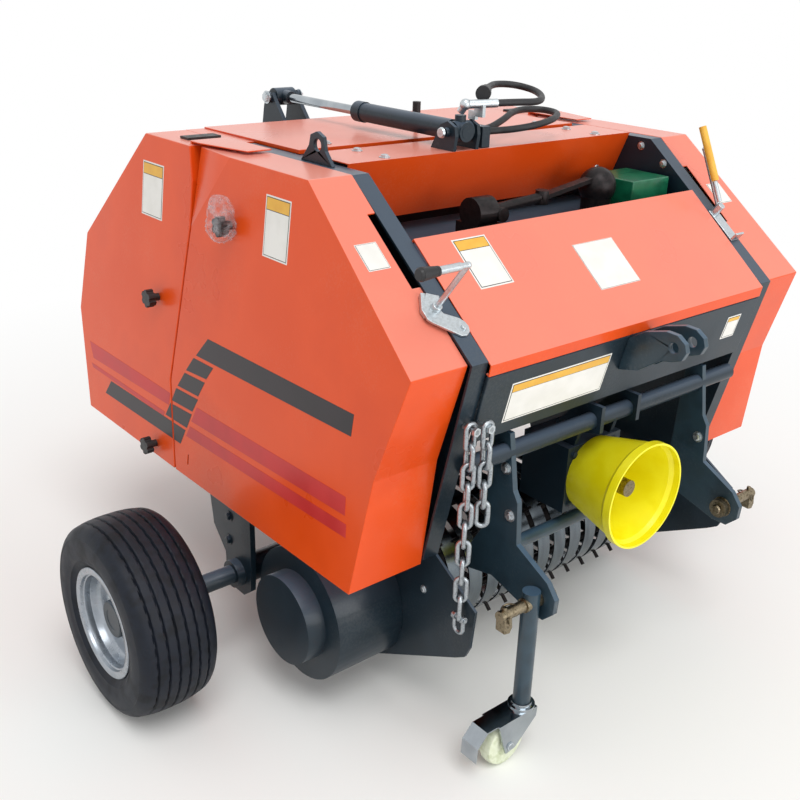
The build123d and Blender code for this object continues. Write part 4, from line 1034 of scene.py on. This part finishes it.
# On the left, a straight strap with an upturned end carries both handles.
for a, b, low, high in ((-31.7, 52, 0.6, 4.4), (47, 52, 4, 22)):
    slab(bm, [on_slope(417.5 + t, s, low) for t, s in ((-14, a), (14, a), (14, b), (-14, b))],
         LIFT * (high - low))
socket = Vector(on_slope(417.5, -24, 4))
bar(bm, socket, socket + LIFT * 24, 9.5, 8)
brackets = keep(bm, "crank_plates", "zinc_plate", "chassis", 1.2)
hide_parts("crank_brackets")

bm = bmesh.new()
ELBOW = CRANK_FOOT + LIFT * 114
bar(bm, CRANK_FOOT + LIFT * 2, ELBOW, 5.2)
ball(bm, ELBOW, 5.6)
sleeve_end = ELBOW + Vector((-62, 0, 0))
bar(bm, ELBOW, sleeve_end, 5.2)
bar(bm, ELBOW + Vector((-16, 0, 0)), sleeve_end, 7.0)
FOLD = Vector((0, 0.43, 0.90)).normalized()
left_low = Vector((417.5, *off_bar(-368, 28.6)))
bar(bm, left_low, left_low + FOLD * 45, 5.2)
second = Vector((431.5, *off_bar(-376, 6.6)))
bar(bm, second, second + FOLD * 138, 5.2)
ball(bm, second + FOLD * 138, 5.8)
rods = keep(bm, "crank_bars", "zinc_plate", "chassis", 0.5)
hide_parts("crank_rods")

bm = bmesh.new()
for near, far, r0, r1 in ((0, 6, 8.4, 8.8), (6, 36, 8.8, 11.6), (36, 41, 11.6, 9.0)):
    bar(bm, sleeve_end - Vector((near, 0, 0)), sleeve_end - Vector((far, 0, 0)), r0, r1)
grip = keep(bm, "cone_grip", "black_nylon", "chassis", 0.8)
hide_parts("crank_grips")

# %% The dark eye of the ram's rod, and the bracket's pin
bm = bmesh.new()
RAM_X, RAM_Z, EYE_Y, PIVOT_Y = -110, 1096, 500, -121
eye = Vector((RAM_X, EYE_Y, RAM_Z))
bar(bm, eye + Vector((-27.3, 0, 0)), eye + Vector((27.3, 0, 0)), 20.2, sides=36)
bar(bm, eye, eye + Vector((0, -36, 0)), 17, 15)
keep(bm, "rod_eye_casting", "blue_grey_enamel", "ram_rod_body", 1.5)
bm = bmesh.new()
for x in (-157.5, -62.5):
    out = -5 if x < RAM_X else 5
    bar(bm, (x, PIVOT_Y, RAM_Z), (x + out, PIVOT_Y, RAM_Z), 11, 9)
keep(bm, "bracket_pin_heads", "zinc_plate", "chassis", 0.8)

# %% The chain's shackle
bm = bmesh.new()
low_z = 668.0 - PITCH * 9 - 24
loop(bm, (-421.5, -516, low_z - 18), 11, 4.2, (0, 1, 0), (0, 0, -1), 0, 180)
for y in (-527, -505):
    bar(bm, (-421.5, y, low_z - 18), (-421.5, y, low_z + 2), 4.2, sides=12)
    bar(bm, (-421.5, y - 4, low_z + 2), (-421.5, y + 4, low_z + 2), 7, sides=14)
bar(bm, (-421.5, -534, low_z + 2), (-421.5, -498, low_z + 2), 3.6, sides=14)
keep(bm, "chain_shackle", "galvanised_wire", "chassis", 0.4)

# %% [markdown]
# ## The bag over a knob
# The upper right knob is new and still has its clear bag pulled over it. It is thin film
# gathered round the knob, with a tail that stands up to a point. We fold a closed skin by
# a rule: pulled in towards the knob, pinched by creases and drawn out along the tail.

# %% The bag
def bag_point(direction):
    """How far, in mm, the film stands from the knob's middle in a direction."""
    tail = Vector((-0.25, -0.42, 0.86)).normalized()
    ear = Vector((-0.2, 0.62, 0.72)).normalized()
    pull = max(0.0, direction.dot(tail)) ** 7
    small = max(0.0, direction.dot(ear)) ** 14
    crease = noise.noise(direction * 3.1 + Vector((4, 7, 1)))
    fine = noise.noise(direction * 8.0 + Vector((1, 3, 9)))
    return 29.5 + 46.0 * pull + 16.0 * small + 7.0 * crease * (0.5 + pull) + 3.2 * fine


bm = bmesh.new()
bmesh.ops.create_icosphere(bm, subdivisions=5, radius=1.0)
KNOB_AT = Vector((-(cover_half(933) + 20), 32, 933))
for vert in bm.verts:
    way = vert.co.normalized()
    point = KNOB_AT + way * bag_point(way)
    lean_wall = -(cover_half(point.z) + 1.2)
    if point.x > lean_wall:
        point.x = lean_wall - 0.02 * (point.x - lean_wall)
    vert.co = mm(*point)
# A bag laid flat is two layers, so its flat size has half of the skin's area.
area = sum(face.calc_area() for face in bm.faces) / 2
bag = keep(bm, "knob_bag", "clear_polythene", "chassis")
bag.data.shade_smooth()
print("bag film", round(area, 4), "square metres")
